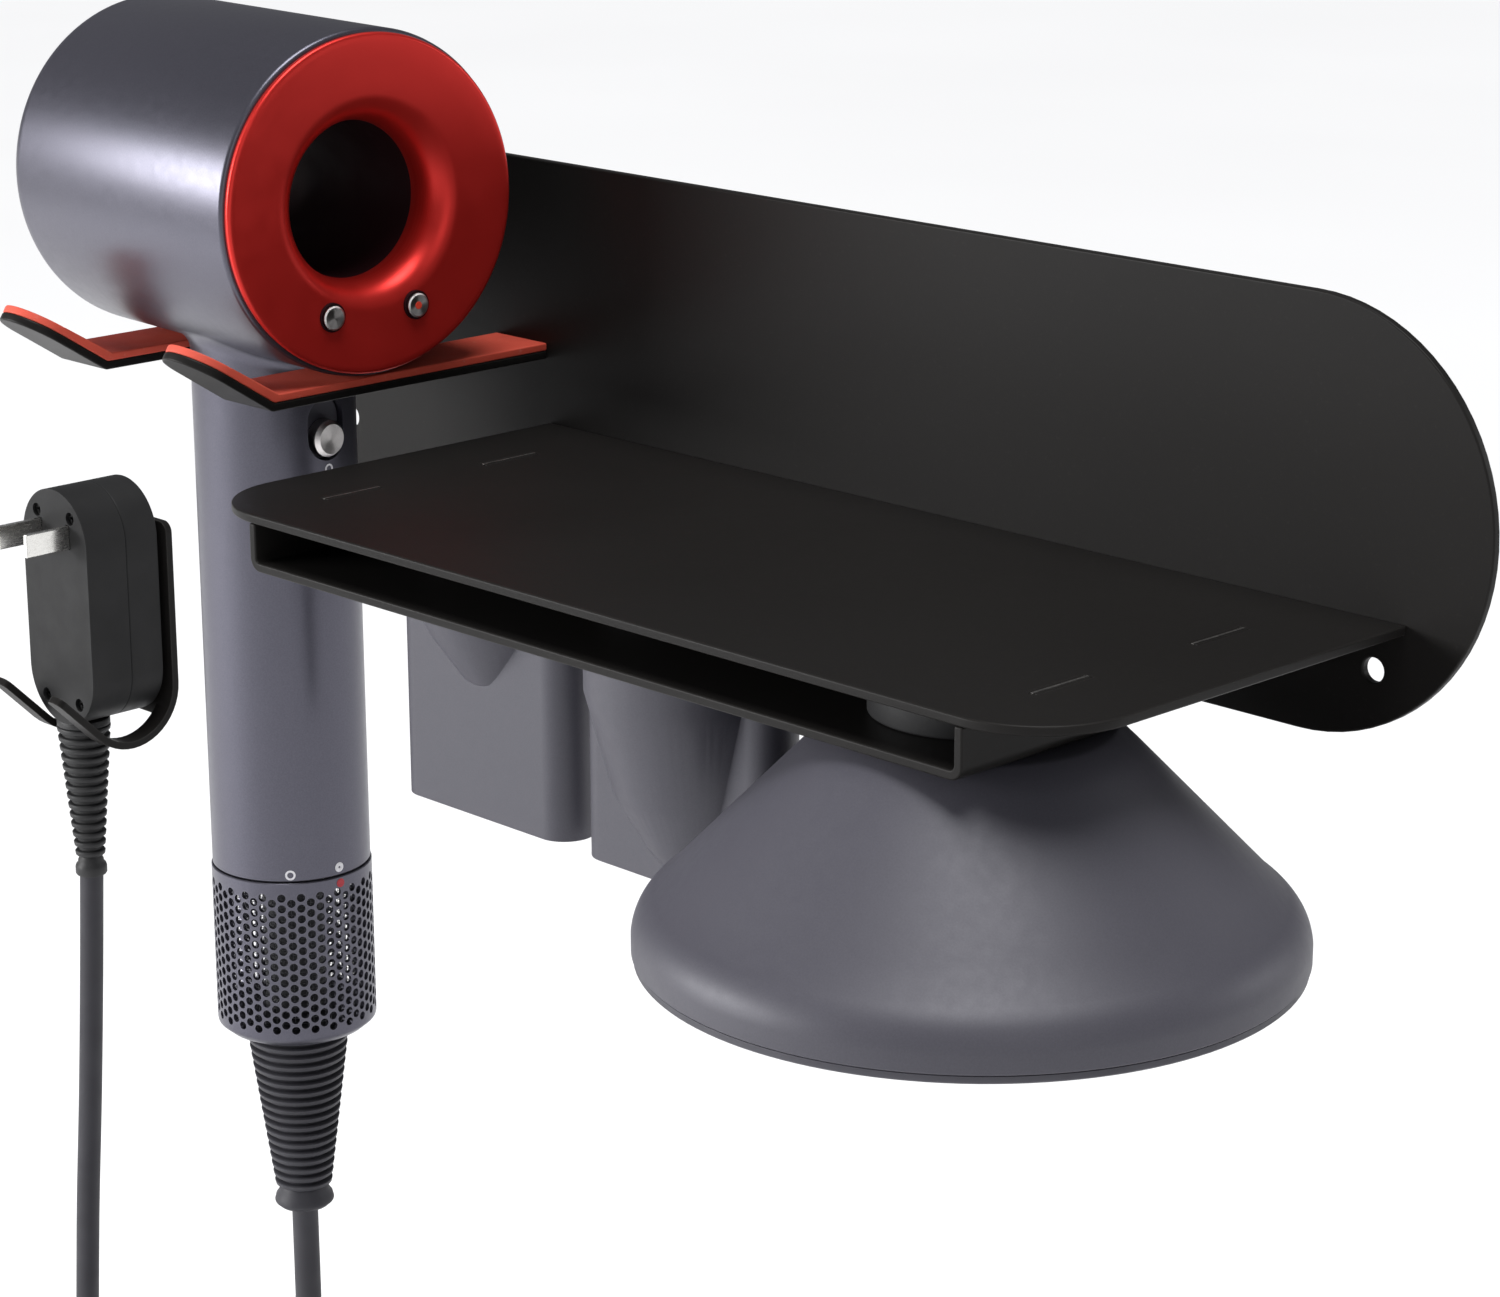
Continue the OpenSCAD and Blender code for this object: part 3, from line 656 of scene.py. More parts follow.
def coil_line():
    """The coil's centreline, wound from its top towards -X."""
    low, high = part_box("lead_coil")
    centre = (low + high) / 2
    outer = (high.x - low.x) / 2 - LEAD_D / 2
    first_row = low.y + LEAD_D / 2
    made = []
    steps = round(COIL_END / 360 * COIL_POINTS_PER_TURN)
    for i in range(steps + 1):
        angle = COIL_END * i / steps
        row, layer = COIL_PLACES[0]
        for here, there, moved in zip(COIL_PLACES, COIL_PLACES[1:], COIL_MOVED):
            share = min(1.0, max(0.0, (angle - moved + COIL_MOVE) / COIL_MOVE))
            eased = (1 - math.cos(math.pi * share)) / 2
            row += (there[0] - here[0]) * eased
            layer += (there[1] - here[1]) * eased
        radius = outer - layer * LEAD_D
        turn = math.radians(angle)
        across, up = -radius * math.sin(turn), radius * math.cos(turn)
        made.append(Vector((centre.x + across, first_row + row * LEAD_D, centre.z + up)))
    return made


def lead_piece(name, line, body, nodes):
    made = tube(name, line, LEAD_D / 2)
    made.data.materials.append(LOOK["lead_rubber"])
    if body:
        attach(made, body)
    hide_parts(*nodes)
    return made


dryer_line = flowing(DRYER_ROUTE + coil_line() + TAIL_ROUTE, LEAD_STEP)
loop_line = flowing(LOOP_ROUTE, LEAD_STEP)
plug_line = flowing(PLUG_ROUTE, LEAD_STEP)
dryer_cord = lead_piece("dryer_lead_cord", dryer_line, "dryer", ["dryer_lead", "lead_coil"])
loop_cord = lead_piece("lead_loop_cord", loop_line, None, ["lead_loop"])
plug_cord = lead_piece("plug_lead_cord", plug_line, "plug", ["plug_lead"])
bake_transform(loop_cord)

# ---- Holder ----

STEEL_EDGE = 0.45 * MM
PAD_EDGE = 0.35 * MM
FINGER_TIP_Y = -38 * MM
FINGER_CORNER = 2.2 * MM
TAB_ROWS = (31 * MM, 76.5 * MM)
TAB_LENGTH = 15.5 * MM
TAB_EDGE = 0.6 * MM
MAGNET_R = 20 * MM


def rounded_fingers(work):
    """Rounds the tips of the bracket's two fingers, which point away from the wall."""
    tips = [
        edge
        for edge in work.edges
        if edge.calc_length() < 3 * MM and all(v.co.y < FINGER_TIP_Y for v in edge.verts)
    ]
    bmesh.ops.bevel(work, geom=tips, offset=FINGER_CORNER, segments=6, profile=0.5, affect="EDGES")


def holder():
    for node in ("back_plate", "shelf_plate", "tray_channel", "cradle_arm_left", "cradle_arm_right"):
        soft_node(node, STEEL_EDGE)
    soft_node("plug_bracket", STEEL_EDGE, shape=rounded_fingers)
    near_pad = soft_node("cradle_pad_right", PAD_EDGE)
    far_pad = linked("cradle_pad_left_finished", near_pad.data.copy())
    far_pad.data.transform(Matrix.Translation(middle("cradle_pad_left") - middle("cradle_pad_right")))
    dress(far_pad, near_pad.data.materials[0], "root", ["cradle_pad_left"])


def tab_lines():
    """The fine edge where each tab of the tray comes up through the shelf, a pale metal strip that paints the
    highlight along that edge.
    """
    low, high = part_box("tray_channel")
    plate_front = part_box("back_plate")[0].y
    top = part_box("shelf_plate")[1].z
    places = [(x, y) for x in (low.x + 1 * MM, high.x - 1 * MM) for y in TAB_ROWS]
    wide, long = TAB_EDGE / 2, TAB_LENGTH / 2
    outline = [(-wide, -long), (wide, -long), (wide, long), (-wide, long)]
    for number, (x, y) in enumerate(places, 1):
        place = Matrix.Translation((x, plate_front - y, top - 0.1 * MM))
        line = swept(outline, 0.2 * MM, f"tab_edge_{number}", place, 0.05 * MM)
        dress(line, PALE_STEEL_HIGHLIGHT, "root")


def magnets():
    """Three rubber-covered magnets with a moulded lip."""
    low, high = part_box("tray_magnets")
    height = high.z - low.z
    lip = MAGNET_R - 3.6 * MM
    outline = [(0, 0), (MAGNET_R, 0), (MAGNET_R, height - 2 * MM), (MAGNET_R - 0.6 * MM, height - 1.4 * MM)]
    outline += [(MAGNET_R - 0.9 * MM, height), (MAGNET_R - 3 * MM, height), (lip, height - 0.6 * MM)]
    outline += [(4 * MM, height - 0.6 * MM), (3 * MM, height - 1.4 * MM), (0, height - 1.4 * MM)]
    outline = rounded(outline, 0.5 * MM)
    for dock in ("wide_nozzle_collar", "smooth_nozzle_collar", "diffuser_collar"):
        at = middle(dock)
        disc = lathe(dock.replace("collar", "magnet"), outline, Matrix.Translation((at.x, at.y, low.z)))
        dress(disc, LOOK["rubber_black"], "root")
    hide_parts("tray_magnets")


holder()
tab_lines()
magnets()

# ---- Dryer ----

press = next(j for j in frame["joints"] if j["name"] == "speed_button_press")
INLET = -Vector(press["axis"]).normalized()
HANDLE_AXIS = middle("cord_boot")
HEAD_MIDDLE = Vector((HANDLE_AXIS.x, HANDLE_AXIS.y, middle("inner_duct").z))
DRYER_TURN = Matrix.Rotation(math.atan2(INLET.y, INLET.x), 4, "Z")
# Local Z is the handle's axis, local X leaves the inlet face, and heights are the row frame's
ON_HANDLE = Matrix.Translation((HANDLE_AXIS.x, HANDLE_AXIS.y, 0)) @ DRYER_TURN
# Local Z leaves the inlet face along the head's axis, and local X points down
ON_HEAD = Matrix.Translation(HEAD_MIDDLE) @ DRYER_TURN @ Matrix.Rotation(math.pi / 2, 4, "Y")

HEAD_R = 39 * MM
HEAD_TURN_R = 6 * MM
HEAD_IN = 41 * MM
HEAD_OUT = 50 * MM
THROAT_DEPTH = 8.6 * MM
SHELL_T = 1.8 * MM
BORE_R = 17.8 * MM
HANDLE_R = 19 * MM
SEAM_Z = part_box("filter_cage")[1].z
NECK = 3.2 * MM


def head():
    """Outer shell of the head, rolled in at its outlet end."""
    flat = HEAD_R - HEAD_TURN_R
    bend = (flat, -HEAD_OUT + HEAD_TURN_R)
    outline = [(HEAD_R - SHELL_T, HEAD_IN), (HEAD_R - 0.9 * MM, HEAD_IN)]
    outline += [(HEAD_R - 0.5 * MM, HEAD_IN - 0.12 * MM)]
    outline += [(HEAD_R - 0.12 * MM, HEAD_IN - 0.5 * MM), (HEAD_R, HEAD_IN - 1.1 * MM)]
    outline += arc(bend, HEAD_TURN_R, 0, -90, 10)
    outline += [(flat - 3 * MM, -HEAD_OUT), (flat - 3.4 * MM, -HEAD_OUT + 0.5 * MM)]
    outline += [(flat - 3.4 * MM, -HEAD_OUT + SHELL_T)]
    outline += arc(bend, HEAD_TURN_R - SHELL_T, -90, 0, 8)
    turned_node("head_skin", outline, ON_HEAD, "head_shell", segments=FINE_ROUND)


def handle():
    """Handle tube that flares into the head, with the recess of the power switch left open."""
    low_z = SEAM_Z + 0.3 * MM
    inner = HANDLE_R - SHELL_T
    points = []
    levels = [low_z + 0.25 * MM, -50 * MM, -10 * MM] + [z * MM for z in range(0, 25, 4)]
    for k in range(FINE_ROUND):
        turn = 2 * math.pi * k / FINE_ROUND

        def head_surface(radius):
            return HEAD_MIDDLE.z - math.sqrt(HEAD_R**2 - (radius * math.sin(turn)) ** 2)

        meet = head_surface(HANDLE_R)
        start = Vector((HANDLE_R, meet - NECK))
        knee = Vector((HANDLE_R, meet + 0.1 * MM))
        end = Vector((HANDLE_R + NECK, head_surface(HANDLE_R + NECK) + 0.05 * MM))
        column = [(HANDLE_R - 0.25 * MM, low_z)] + [(HANDLE_R, z) for z in levels]
        column += curve(start, knee, end, 8)
        column += [(HANDLE_R + NECK, end.y + 1.2 * MM), (inner, meet + 3 * MM), (inner, low_z)]
        points += [on_circle(r, turn, z) for r, z in column]
    columns = numbered(FINE_ROUND, len(column))
    made = piece("handle_skin", points, bands(columns + columns[:1]), ON_HANDLE)
    cut_out(made, cutter_for_switch())
    smooth(made.data, 35)
    dress(made, LOOK["dryer_grey"], "dryer", ["handle_tube"])


SWITCH_Z = 11.1 * MM
SWITCH_TRAVEL = 4.5 * MM
KNOB_R = 4.3 * MM
SWITCH_TURN = 6
# Local Z leaves the handle through the switch, local X is up
ON_SWITCH = (
    ON_HANDLE
    @ Matrix.Rotation(math.radians(SWITCH_TURN), 4, "Z")
    @ Matrix.Translation((HANDLE_R, 0, SWITCH_Z))
    @ Matrix.Rotation(math.pi / 2, 4, "Y")
    @ Matrix.Rotation(math.pi, 4, "Z")
)


def slot_outline(radius, travel, steps=16):
    """A slot with round ends, from the local origin to a distance along local X."""
    return arc((0, 0), radius, 90, 270, steps) + arc((travel, 0), radius, -90, 90, steps)


def cutter_for_switch():
    depth = 8 * MM
    outline = slot_outline(KNOB_R + 1 * MM, SWITCH_TRAVEL)
    return swept(outline, depth, "switch_cutter", ON_SWITCH @ Matrix.Translation((0, 0, -depth / 2)))


def switch():
    """Dark recess and the turned metal knob that slides in it."""
    floor = swept(
        slot_outline(KNOB_R + 0.95 * MM, SWITCH_TRAVEL),
        1.6 * MM,
        "switch_recess",
        ON_SWITCH @ Matrix.Translation((0, 0, -4.2 * MM)),
        0.2 * MM,
    )
    dress(floor, LOOK["comb_grey"], "dryer", ["switch_plate"])
    top = 1.5 * MM
    outline = [(0, -2.3 * MM), (KNOB_R, -2.3 * MM), (KNOB_R, top - 1.1 * MM)]
    outline += [(KNOB_R - 0.7 * MM, top - 0.1 * MM), (KNOB_R - 0.8 * MM, top)]
    outline += [(1.2 * MM, top - 0.16 * MM), (0, top - 0.2 * MM)]
    turned_node("power_knob", outline, ON_SWITCH, "power_switch", smooth_angle=12)


def inlet():
    """Red funnel that closes the inlet end: a thin rolled rim, a shallow dish and a deep throat."""
    face, rim, lip, skirt = HEAD_IN, 38.1 * MM, 24.6 * MM, HEAD_R - SHELL_T - 0.1 * MM
    depth = THROAT_DEPTH + 0.9 * MM
    outline = [(skirt - 2.2 * MM, face - 3 * MM), (skirt, face - 3 * MM), (skirt, face + 0.02 * MM)]
    outline += [(rim - 0.25 * MM, face + 0.05 * MM)]
    outline += arc((rim - 0.9 * MM, face + 1.1 * MM), 0.9 * MM, 0, 90, 6)
    outline += [(rim - 2 * MM, face + 1.95 * MM), (32 * MM, face + 1.45 * MM), (27.5 * MM, face + 1.1 * MM)]
    outline += arc((lip, face + 0.9 * MM - depth), lip - BORE_R, 90, 180, 14, depth)
    outline += [(BORE_R + 1.2 * MM, face - THROAT_DEPTH), (20 * MM, face - 4.6 * MM)]
    outline += [(22 * MM, face - 1.6 * MM), (26 * MM, face - 0.5 * MM), (skirt - 2.2 * MM, face - 0.3 * MM)]
    made = lathe("inlet_funnel", outline, ON_HEAD, FINE_ROUND, 60)
    far = 8 * MM
    for button in ("speed_button", "heat_button"):
        bore = [(0, -far), (BUTTON_HOLE_R, -far), (BUTTON_HOLE_R, far), (0, far)]
        cut_out(made, lathe("hole", bore, on_button(button)))
    smooth(made.data, 50)
    dress(made, LOOK["inlet_red"], "dryer", ["inlet_ring"])


BUTTON_SUNK = 1.15 * MM
BUTTON_R = 2.8 * MM
BUTTON_HOLE_R = 3.05 * MM


def on_button(node):
    """Local Z comes out of the inlet face through a button, from the level of its cap's rim."""
    low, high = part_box(node)
    at = (low + high) / 2
    front = (Vector((high.x, at.y, at.z)) - HEAD_MIDDLE).dot(INLET)
    height = at.z - HEAD_MIDDLE.z
    across = ON_HEAD.to_3x3().col[1]
    off = (at - HEAD_MIDDLE).dot(across)
    return ON_HEAD @ Matrix.Translation((-height, off, front - BUTTON_SUNK))


def buttons():
    """Two turned metal push buttons in dark collars; the right one carries a red dot."""
    for node in ("speed_button", "heat_button"):
        place = on_button(node)
        outline = [(0, -5 * MM), (BUTTON_R, -5 * MM), (BUTTON_R, -0.1 * MM), (BUTTON_R - 0.06 * MM, 0.2 * MM)]
        outline += [(BUTTON_R - 0.4 * MM, 0.5 * MM), (BUTTON_R - 0.5 * MM, 0.5 * MM)]
        outline += [(0.9 * MM, 0.34 * MM), (0, 0.3 * MM)]
        turned_node(node + "_cap", outline, place, node, smooth_angle=12)
        inner, outer = BUTTON_R + 0.06 * MM, 3.3 * MM
        ring = [(inner, -3 * MM), (outer, -3 * MM), (outer, -0.25 * MM), (inner, -0.35 * MM)]
        collar = lathe(node + "_collar", rounded(ring, 0.1 * MM), place)
        dress(collar, LOOK["duct_dark"], "dryer")
    spot = [(0, 0.1 * MM), (0.95 * MM, 0.1 * MM), (0.85 * MM, 0.4 * MM), (0, 0.44 * MM)]
    dress(lathe("heat_dot", spot, place), HEAT_RED, "heat_button")


def outlet():
    """Inner tube and the outlet plate with its ring-shaped slot."""
    rim = BORE_R + 1.2 * MM
    tube_outline = [(BORE_R, HEAD_IN - THROAT_DEPTH), (BORE_R, -HEAD_OUT + 2 * MM)]
    tube_outline += arc((rim, -HEAD_OUT + 1.2 * MM), 1.2 * MM, 180, 270, 5)
    tube_outline += [(rim, HEAD_IN - THROAT_DEPTH)]
    turned_node("inner_tube", tube_outline, ON_HEAD, "inner_duct", smooth_angle=40)
    back = -HEAD_OUT
    plate = [(rim + 0.1 * MM, back + 0.2 * MM), (20.5 * MM, back), (21 * MM, back + 2.4 * MM)]
    plate += [(27 * MM, back + 2.4 * MM), (27.5 * MM, back + 0.1 * MM), (29.4 * MM, back + 0.1 * MM)]
    plate += [(29.4 * MM, back + 6 * MM), (rim + 0.1 * MM, back + 6 * MM)]
    turned_node("outlet_plate", rounded(plate, 0.4 * MM), ON_HEAD, "outlet_ring", smooth_angle=30)


CAGE_PITCH = 2.7 * MM
CAGE_COLUMNS = 52
CAGE_ROWS = 13
CAGE_HOLE_R = 1.02 * MM
CAGE_HOLE_SIDES = 18
CAGE_WALL = 0.9 * MM
CAGE_FIRST = 3.7 * MM
CAGE_CHAMFER = 2.5 * MM
CAGE_FOOT_R = 12.9 * MM


def filter_cage():
    """Perforated sleeve: columns of round holes, every second column half a hole lower."""
    low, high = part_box("filter_cage")
    radius = (high.x - low.x) / 2
    inner = radius - CAGE_WALL
    top, bottom = high.z, low.z
    first = top - CAGE_FIRST + CAGE_PITCH / 2
    thirds = 3 * CAGE_COLUMNS
    grid, points, faces = {}, [], []

    def corner(column, half_row, layer):
        """A shared corner of the hexagonal cells, on the outer or the inner face."""
        key = (column % thirds, half_row, layer)
        if key not in grid:
            grid[key] = len(points)
            turn = 2 * math.pi * key[0] / thirds
            points.append(on_circle(radius - layer * CAGE_WALL, turn, first - half_row * CAGE_PITCH / 2))
        return grid[key]

    # Each cell is a hexagon two thirds of a column wide on its flat sides
    for column in range(CAGE_COLUMNS):
        centre = 3 * column
        shift = column % 2
        for row in range(CAGE_ROWS):
            middle_row = 2 * row + 1 + shift
            around = [
                (centre + third, middle_row + half)
                for third, half in ((2, 0), (1, -1), (-1, -1), (-2, 0), (-1, 1), (1, 1))
            ]
            rims = []
            for layer in (0, 1):
                rim = []
                for k in range(CAGE_HOLE_SIDES):
                    turn = 2 * math.pi * k / CAGE_HOLE_SIDES
                    angle = 2 * math.pi * centre / thirds + CAGE_HOLE_R * math.cos(turn) / radius
                    z = first - middle_row * CAGE_PITCH / 2 + CAGE_HOLE_R * math.sin(turn)
                    rim.append(len(points))
                    points.append(on_circle(radius - layer * CAGE_WALL, angle, z))
                rims.append(rim)
                ring = [corner(*place, layer) for place in around]
                step = CAGE_HOLE_SIDES // 6
                for k in range(6):
                    along = [rim[(k * step + i) % CAGE_HOLE_SIDES] for i in range(step, -1, -1)]
                    faces.append([ring[k], ring[(k + 1) % 6], *along])
            faces += bands(rims)

    # Bands above and below the holes follow the zigzag of the first and last cells
    def border(half_rows, heights):
        """Closes the sleeve from the cells' zigzag edge through rings at (height, radius)."""
        places = [(3 * column + offset, column % 2) for column in range(CAGE_COLUMNS) for offset in (-1, 1)]
        rings = [[corner(third, half_rows + shift, 0) for third, shift in places]]
        last = [corner(third, half_rows + shift, 1) for third, shift in places]
        for z, r in heights:
            rings.append(list(range(len(points), len(points) + len(places))))
            points.extend(on_circle(r, 2 * math.pi * third / thirds, z) for third, _ in places)
        faces.extend(bands([*rings, last]))

    lip = inner - 0.4 * MM
    upper = [(top - 0.25 * MM, radius), (top - 0.02 * MM, radius - 0.2 * MM), (top - 0.02 * MM, lip)]
    border(0, [*upper, (top - 0.6 * MM, lip), (top - 0.9 * MM, inner)])
    edge, cut, shelf = radius - CAGE_CHAMFER, bottom + CAGE_CHAMFER, bottom + CAGE_WALL
    lower = [(cut + 0.3 * MM, radius), (cut - 0.25 * MM, radius - 0.12 * MM)]
    lower += [(bottom + 0.35 * MM, edge + 0.2 * MM), (bottom, edge - 0.5 * MM)]
    lower += [(bottom, CAGE_FOOT_R + 0.1 * MM), (bottom + 0.2 * MM, CAGE_FOOT_R)]
    lower += [(shelf, CAGE_FOOT_R), (shelf, edge - 0.4 * MM), (cut, inner)]
    border(2 * CAGE_ROWS, lower)
    made = piece("filter_sleeve", points, faces, ON_HANDLE, 40)
    dress(made, LOOK["dryer_grey"], "filter_cage", ["filter_cage"])


WIRE_COLUMNS, WIRE_ROWS = 72, 26
WIRE_D = 0.24 * MM


def filter_screen():
    """Fine wire screen behind the sleeve, and the lead's own sleeve inside it."""
    low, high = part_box("filter_screen")
    radius = (high.x - low.x) / 2 - 0.3 * MM
    points = [
        on_circle(radius, 2 * math.pi * k / WIRE_COLUMNS, low.z + (high.z - low.z) * i / WIRE_ROWS)
        for i in range(WIRE_ROWS + 1)
        for k in range(WIRE_COLUMNS)
    ]
    made = piece("filter_wires", points, bands(numbered(WIRE_ROWS + 1, WIRE_COLUMNS)), ON_HANDLE)
    wires = made.modifiers.new("wires", "WIREFRAME")
    wires.thickness = WIRE_D
    wires.use_even_offset = False
    apply_modifiers(made)
    dress(made, LOOK["filter_mesh"], "dryer", ["filter_screen"])
    gland_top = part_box("cord_gland")[1].z
    motor_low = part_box("motor_mount")[0].z
    core = [(0, gland_top), (8.5 * MM, gland_top), (7.4 * MM, gland_top + 3 * MM)]
    core += [(7.4 * MM, motor_low - 2 * MM), (0, motor_low - 2 * MM)]
    core = rounded(core, 1 * MM)
    dress(lathe("lead_core", core, ON_HANDLE), LOOK["outlet_black"], "dryer")


def ribbed(first, last, radius_first, radius_last, count, groove, depth):
    """Outer outline of a strain relief: rounded ribs with deep grooves between them."""
    made = []
    pitch = (last - first) / count
    for i in range(count):
        z = first + pitch * i
        shares = [(z + d * pitch - first) / (last - first) for d in (0, 1)]
        taper = [radius_first + (radius_last - radius_first) * share for share in shares]
        body = 1 - groove
        made += [
            (taper[0] - depth, z),
            (taper[0] - 0.28 * MM, z + 0.03 * pitch),
            (taper[0], z + 0.16 * pitch),
            (taper[0] * (1 - body) + taper[1] * body, z + (body - 0.14) * pitch),
            (taper[1] - 0.28 * MM, z + (body - 0.02) * pitch),
            (taper[1] - depth, z + body * pitch),
        ]
    return made


def dryer_boot():
    low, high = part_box("cord_boot")
    flare = low.z
    ribs_top, ribs_low = high.z - 2.2 * MM, flare + 5 * MM
    outline = [(0, high.z), (12.2 * MM, high.z), (12.4 * MM, ribs_top)]
    outline += ribbed(ribs_top, ribs_low, 12.6 * MM, 6.8 * MM, 18, 0.34, 1.5 * MM)
    outline += [(6.1 * MM, flare + 4.7 * MM), (6.1 * MM, flare + 4.1 * MM), (7.0 * MM, flare + 2.9 * MM)]
    outline += arc((6.5 * MM, flare + 1.6 * MM), 0.8 * MM, 30, -60, 5)
    outline += [(6.2 * MM, flare + 0.25 * MM), (3.6 * MM, flare), (0, flare)]
    turned_node("dryer_strain_relief", outline, ON_HANDLE, "cord_boot", smooth_angle=50)


LOCK_TURN = 2.9
CAGE_R = 19.3 * MM


def ring_mark(name, centre_angle, z, outer, inner, look, radius, open_below=False):
    """A printed ring or dot on the handle's round skin."""
    lift, sunk, steps = 0.06 * MM, -0.2 * MM, 28
    points, faces = [], []
    for k in range(steps):
        turn = 2 * math.pi * k / steps
        for r, out in ((outer, sunk), (outer, lift), (inner, lift), (inner, sunk)):
            angle = math.radians(centre_angle) + r * math.cos(turn) / radius
            points.append(on_circle(radius + out, angle, z + r * math.sin(turn)))
    sections = numbered(steps, 4)
    for k in range(steps):
        if not (open_below and 0.62 * steps < k < 0.88 * steps):
            faces += bands([sections[k], sections[(k + 1) % steps]])
    return dress(piece(name, points, faces, ON_HANDLE), look, "dryer")


def handle_marks():
    """The printed ring above the seam, the lock mark beside it and the arch under the power knob."""
    white = (MARK_WHITE, HANDLE_R)
    ring_mark("seam_ring_mark", -34.6, SEAM_Z + 2 * MM, 1.25 * MM, 0.75 * MM, *white)
    ring_mark("seam_lock_mark", LOCK_TURN, SEAM_Z + 2.3 * MM, 1.2 * MM, 0.3 * MM, *white)
    ring_mark("switch_arch_mark", SWITCH_TURN, SWITCH_Z - 7.2 * MM, 1.15 * MM, 0.7 * MM, *white, True)
    dot = ring_mark("lock_dot_mark", LOCK_TURN, SEAM_Z - 1.6 * MM, 1.1 * MM, 0.05 * MM, MARK_RED, CAGE_R)
    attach(dot, "filter_cage")


head()
handle()
switch()
inlet()
buttons()
outlet()
filter_cage()
filter_screen()
dryer_boot()
handle_marks()
soft_node("cord_gland", 0.3 * MM)

# ---- Attachments ----


def nozzles():
    for node in ("wide_nozzle_body", "smooth_nozzle_body"):
        soft_node(node, 0.55 * MM, 3, 25)
    for node in ("wide_nozzle_collar", "smooth_nozzle_collar", "diffuser_collar"):
        soft_node(node, 0.3 * MM)


def diffuser():
    """Wide cone with a rounded shoulder and a short upright rim."""
    low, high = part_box("diffuser_shell")
    place = Matrix.Translation((middle("diffuser_shell").x, middle("diffuser_shell").y, 0))
    rim = (high.x - low.x) / 2
    top, base, wall = high.z, low.z, 2 * MM
    collar = 21 * MM
    slope_top, slope_low = Vector((27.5 * MM, top)), Vector((rim - 5.2 * MM, base + 11.6 * MM))
    knee, upright = Vector((rim - 0.6 * MM, base + 8.4 * MM)), Vector((rim, base + 3.6 * MM))
    outline = [(collar, top - 0.3 * MM), (collar + 0.4 * MM, top), (slope_top.x - 0.8 * MM, top)]
    outline += [(slope_top.x + 0.1 * MM, top - 0.35 * MM)]
    outline += [tuple(slope_top.lerp(slope_low, t)) for t in (0.15, 0.4, 0.65, 0.85)]
    outline += curve(slope_low, knee, upright, 10)
    inside = rim - wall
    outline += [(rim, base + 0.3 * MM), (rim - 0.25 * MM, base), (inside, base), (inside, base + 5 * MM)]
    outline += [(inside - 1.2 * MM, base + 7.4 * MM), (rim - 7.4 * MM, base + 9.6 * MM)]
    outline += [(33.5 * MM, top - 9.2 * MM), (18 * MM, top - 9.2 * MM), (18 * MM, top - 7 * MM)]
    outline += [(collar, top - 7 * MM)]
    turned_node("diffuser_cone", outline, place, "diffuser_shell", segments=FINE_ROUND, smooth_angle=30)
    soft_node("diffuser_comb", 0.4 * MM, 2)


nozzles()
diffuser()

# ---- Plug ----


def plug():
    shells = [soft_node("plug_front_shell", 1.1 * MM, 4), soft_node("plug_back_shell", 0.5 * MM)]
    blades = soft_node("plug_blades", 0.35 * MM)
    screws = soft_node("plug_screws", 0.15 * MM, 2)
    low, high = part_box("plug_boot")
    at = middle("plug_boot")
    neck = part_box("plug_back_shell")[0].z
    outline = [(0, high.z), (4.2 * MM, high.z), (4.2 * MM, neck - 0.1 * MM), (7.0 * MM, neck - 0.1 * MM)]
    outline += [(7.2 * MM, neck - 0.5 * MM), (7.2 * MM, neck - 1.8 * MM)]
    outline += ribbed(neck - 2 * MM, low.z + 4.5 * MM, 7.3 * MM, 3.9 * MM, 14, 0.36, 1.1 * MM)
    outline += [(3.5 * MM, low.z + 4.2 * MM), (3.5 * MM, low.z + 3.6 * MM), (4.1 * MM, low.z + 2.9 * MM)]
    outline += [(4.3 * MM, low.z + 2.2 * MM), (4.3 * MM, low.z + 0.5 * MM), (4 * MM, low.z), (0, low.z)]
    place = Matrix.Translation((at.x, at.y, 0))
    boot = turned_node("plug_strain_relief", outline, place, "plug_boot", smooth_angle=50)
    return [*shells, blades, screws, boot]


plug_pieces = plug()


def coil_tie():
    """Rubber strap round the coil's strands."""
    low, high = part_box("coil_tie")
    wide, tall, thick, corner, edge = high.y - low.y, high.z - low.z, 1.2 * MM, 3.6 * MM, 0.25 * MM
    side = (high.x - low.x) / 2

    def loop(inset, x):
        """The strap's outline drawn inwards, at a place along local X."""
        made = []
        for cy, cz, start in ((1, 1, 0), (-1, 1, 90), (-1, -1, 180), (1, -1, 270)):
            centre = (cy * (wide / 2 - corner), cz * (tall / 2 - corner))
            made += arc(centre, corner - inset, start, start + 90, 6)
        return [(x, *p) for p in made]

    profile = [(edge, -side), (0, edge - side), (0, side - edge), (edge, side)]
    profile += [(thick - edge, side), (thick, side - edge), (thick, edge - side), (thick - edge, -side)]
    points = [p for inset, x in profile for p in loop(inset, x)]
    rings = numbered(len(profile), len(points) // len(profile))
    made = piece("coil_strap", points, bands(rings + rings[:1]), Matrix.Translation((low + high) / 2))
    return dress(made, LOOK["rubber_black"], "dryer", ["coil_tie"])


strap = coil_tie()

# ---- Floor and light ----


FLOOR_DROP = 0.03
FLOOR_HALF = 14


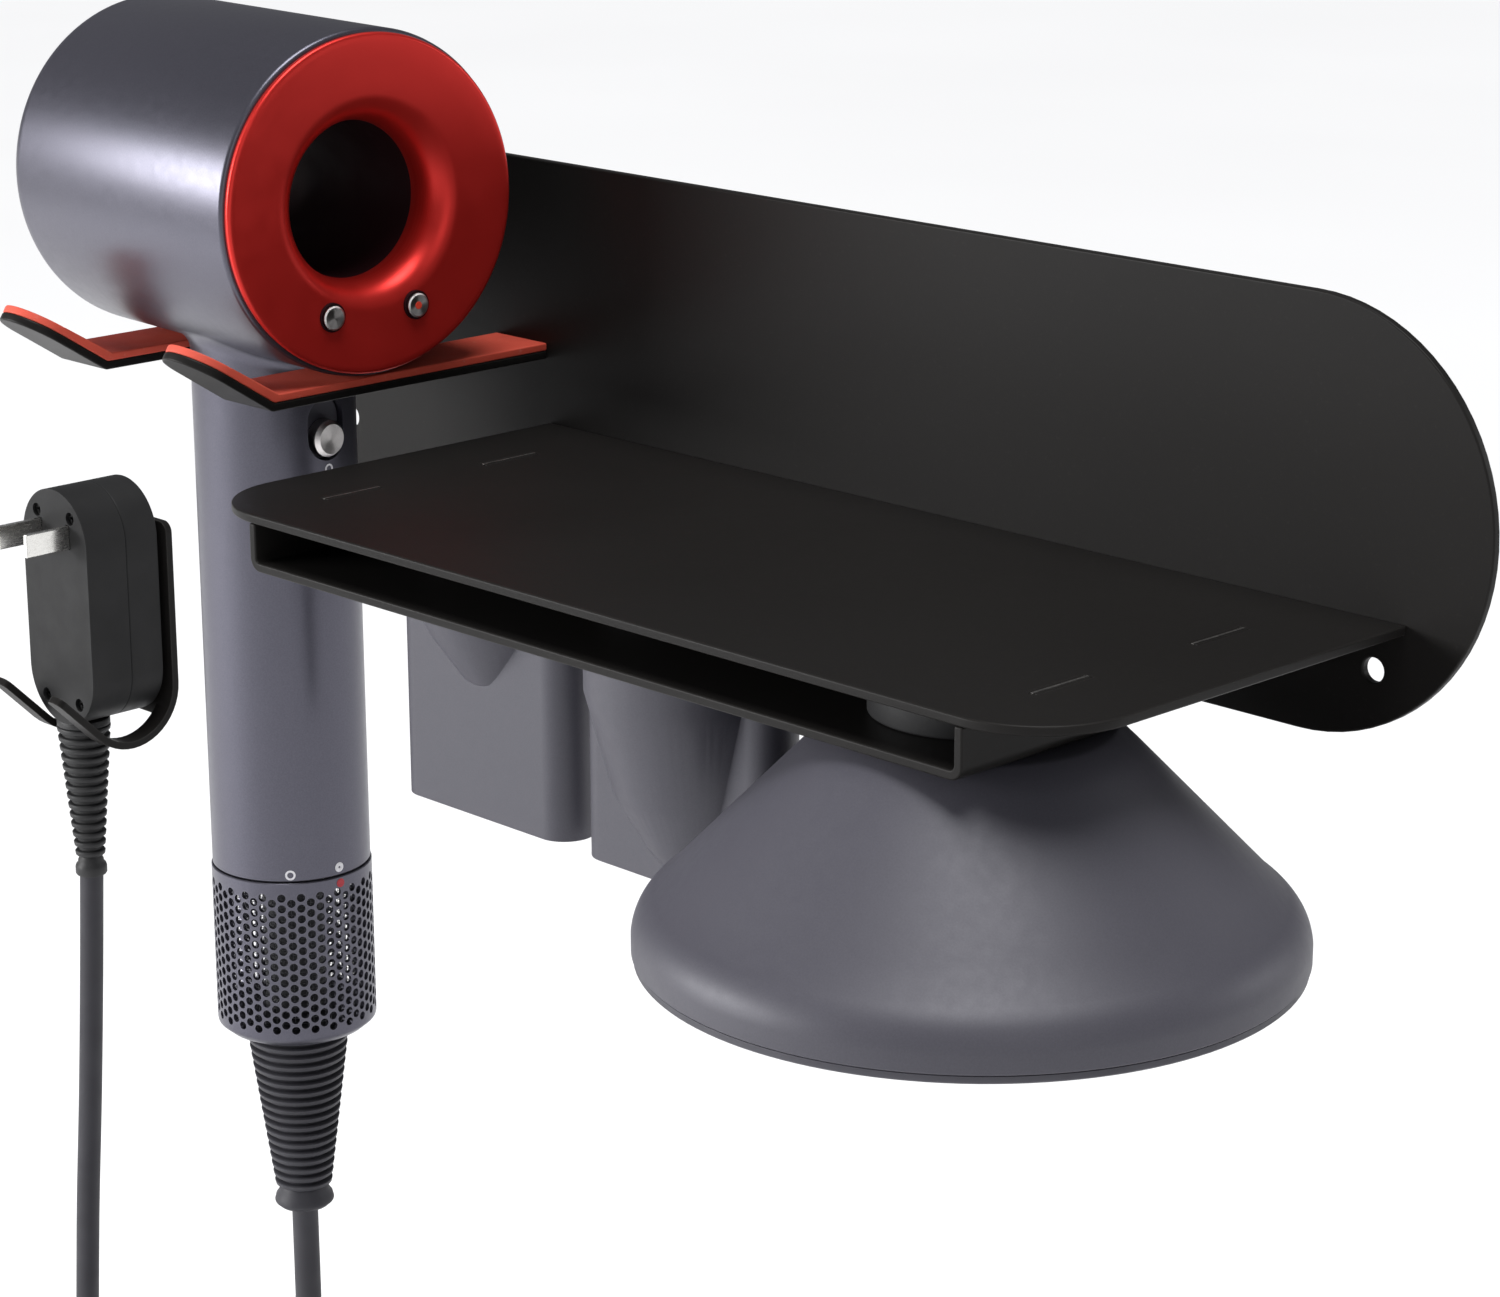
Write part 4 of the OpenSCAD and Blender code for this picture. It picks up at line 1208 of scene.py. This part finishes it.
def floor():
    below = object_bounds()[0].z - FLOOR_DROP
    mesh = bpy.data.meshes.new("floor")
    corners = [(x * FLOOR_HALF, y * FLOOR_HALF, below) for x, y in ((-1, -1), (1, -1), (1, 1), (-1, 1))]
    mesh.from_pydata(corners, [], [[0, 1, 2, 3]])
    made = linked("floor", mesh)
    m = Finish("floor_white", roughness=0.8, Specular_IOR_Level=0.2)
    m.colour(m.clouded(0.6, (0.86, 0.86, 0.865), (0.88, 0.88, 0.885), 2))
    mesh.materials.append(m.made)
    made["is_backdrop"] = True


WORLD_COLOUR = (0.94, 0.96, 1.0, 1)
WORLD_STRENGTH = 0.17
CENTRE = (-0.08, -0.05, 0.0)
UPPER_RIGHT = (-0.08, -0.05, 0.07)
# Name, place, what it is aimed at, width, height and power in watts
AREA_LIGHTS = (
    ("softbox", (-1.12, -1.35, 0.3), CENTRE, 1.1, 0.4, 28),
    ("front_fill", (1.5, -0.9, 0.6), CENTRE, 0.9, 0.9, 3),
    ("right_back", (0.83, 1.25, 0.33), UPPER_RIGHT, 0.5, 0.4, 3),
)
OVERHEAD_STRENGTH = 3.0
OVERHEAD_SPREAD = 35
OVERHEAD_TILT = (6, 8, 0)


def area_light(name, at, aim, width, height, power):
    data = bpy.data.lights.new(name, "AREA")
    data.shape = "RECTANGLE"
    data.size = width
    data.size_y = height
    data.energy = power
    turn = (Vector(at) - Vector(aim)).to_track_quat("Z", "Y").to_matrix()
    linked(name, data).matrix_world = Matrix.Translation(at) @ turn.to_4x4()


def light():
    """A softbox in front on the left, weaker ones on the right, and soft even light from above."""
    scene = bpy.context.scene
    scene.world = bpy.data.worlds.new("studio")
    scene.world.use_nodes = True
    background = scene.world.node_tree.nodes["Background"]
    background.inputs["Color"].default_value = WORLD_COLOUR
    background.inputs["Strength"].default_value = WORLD_STRENGTH
    for numbers in AREA_LIGHTS:
        area_light(*numbers)
    data = bpy.data.lights.new("overhead", "SUN")
    data.energy = OVERHEAD_STRENGTH
    data.angle = math.radians(OVERHEAD_SPREAD)
    linked("overhead", data).rotation_euler = [math.radians(turn) for turn in OVERHEAD_TILT]
    scene.view_settings.view_transform = "Standard"


floor()
light()
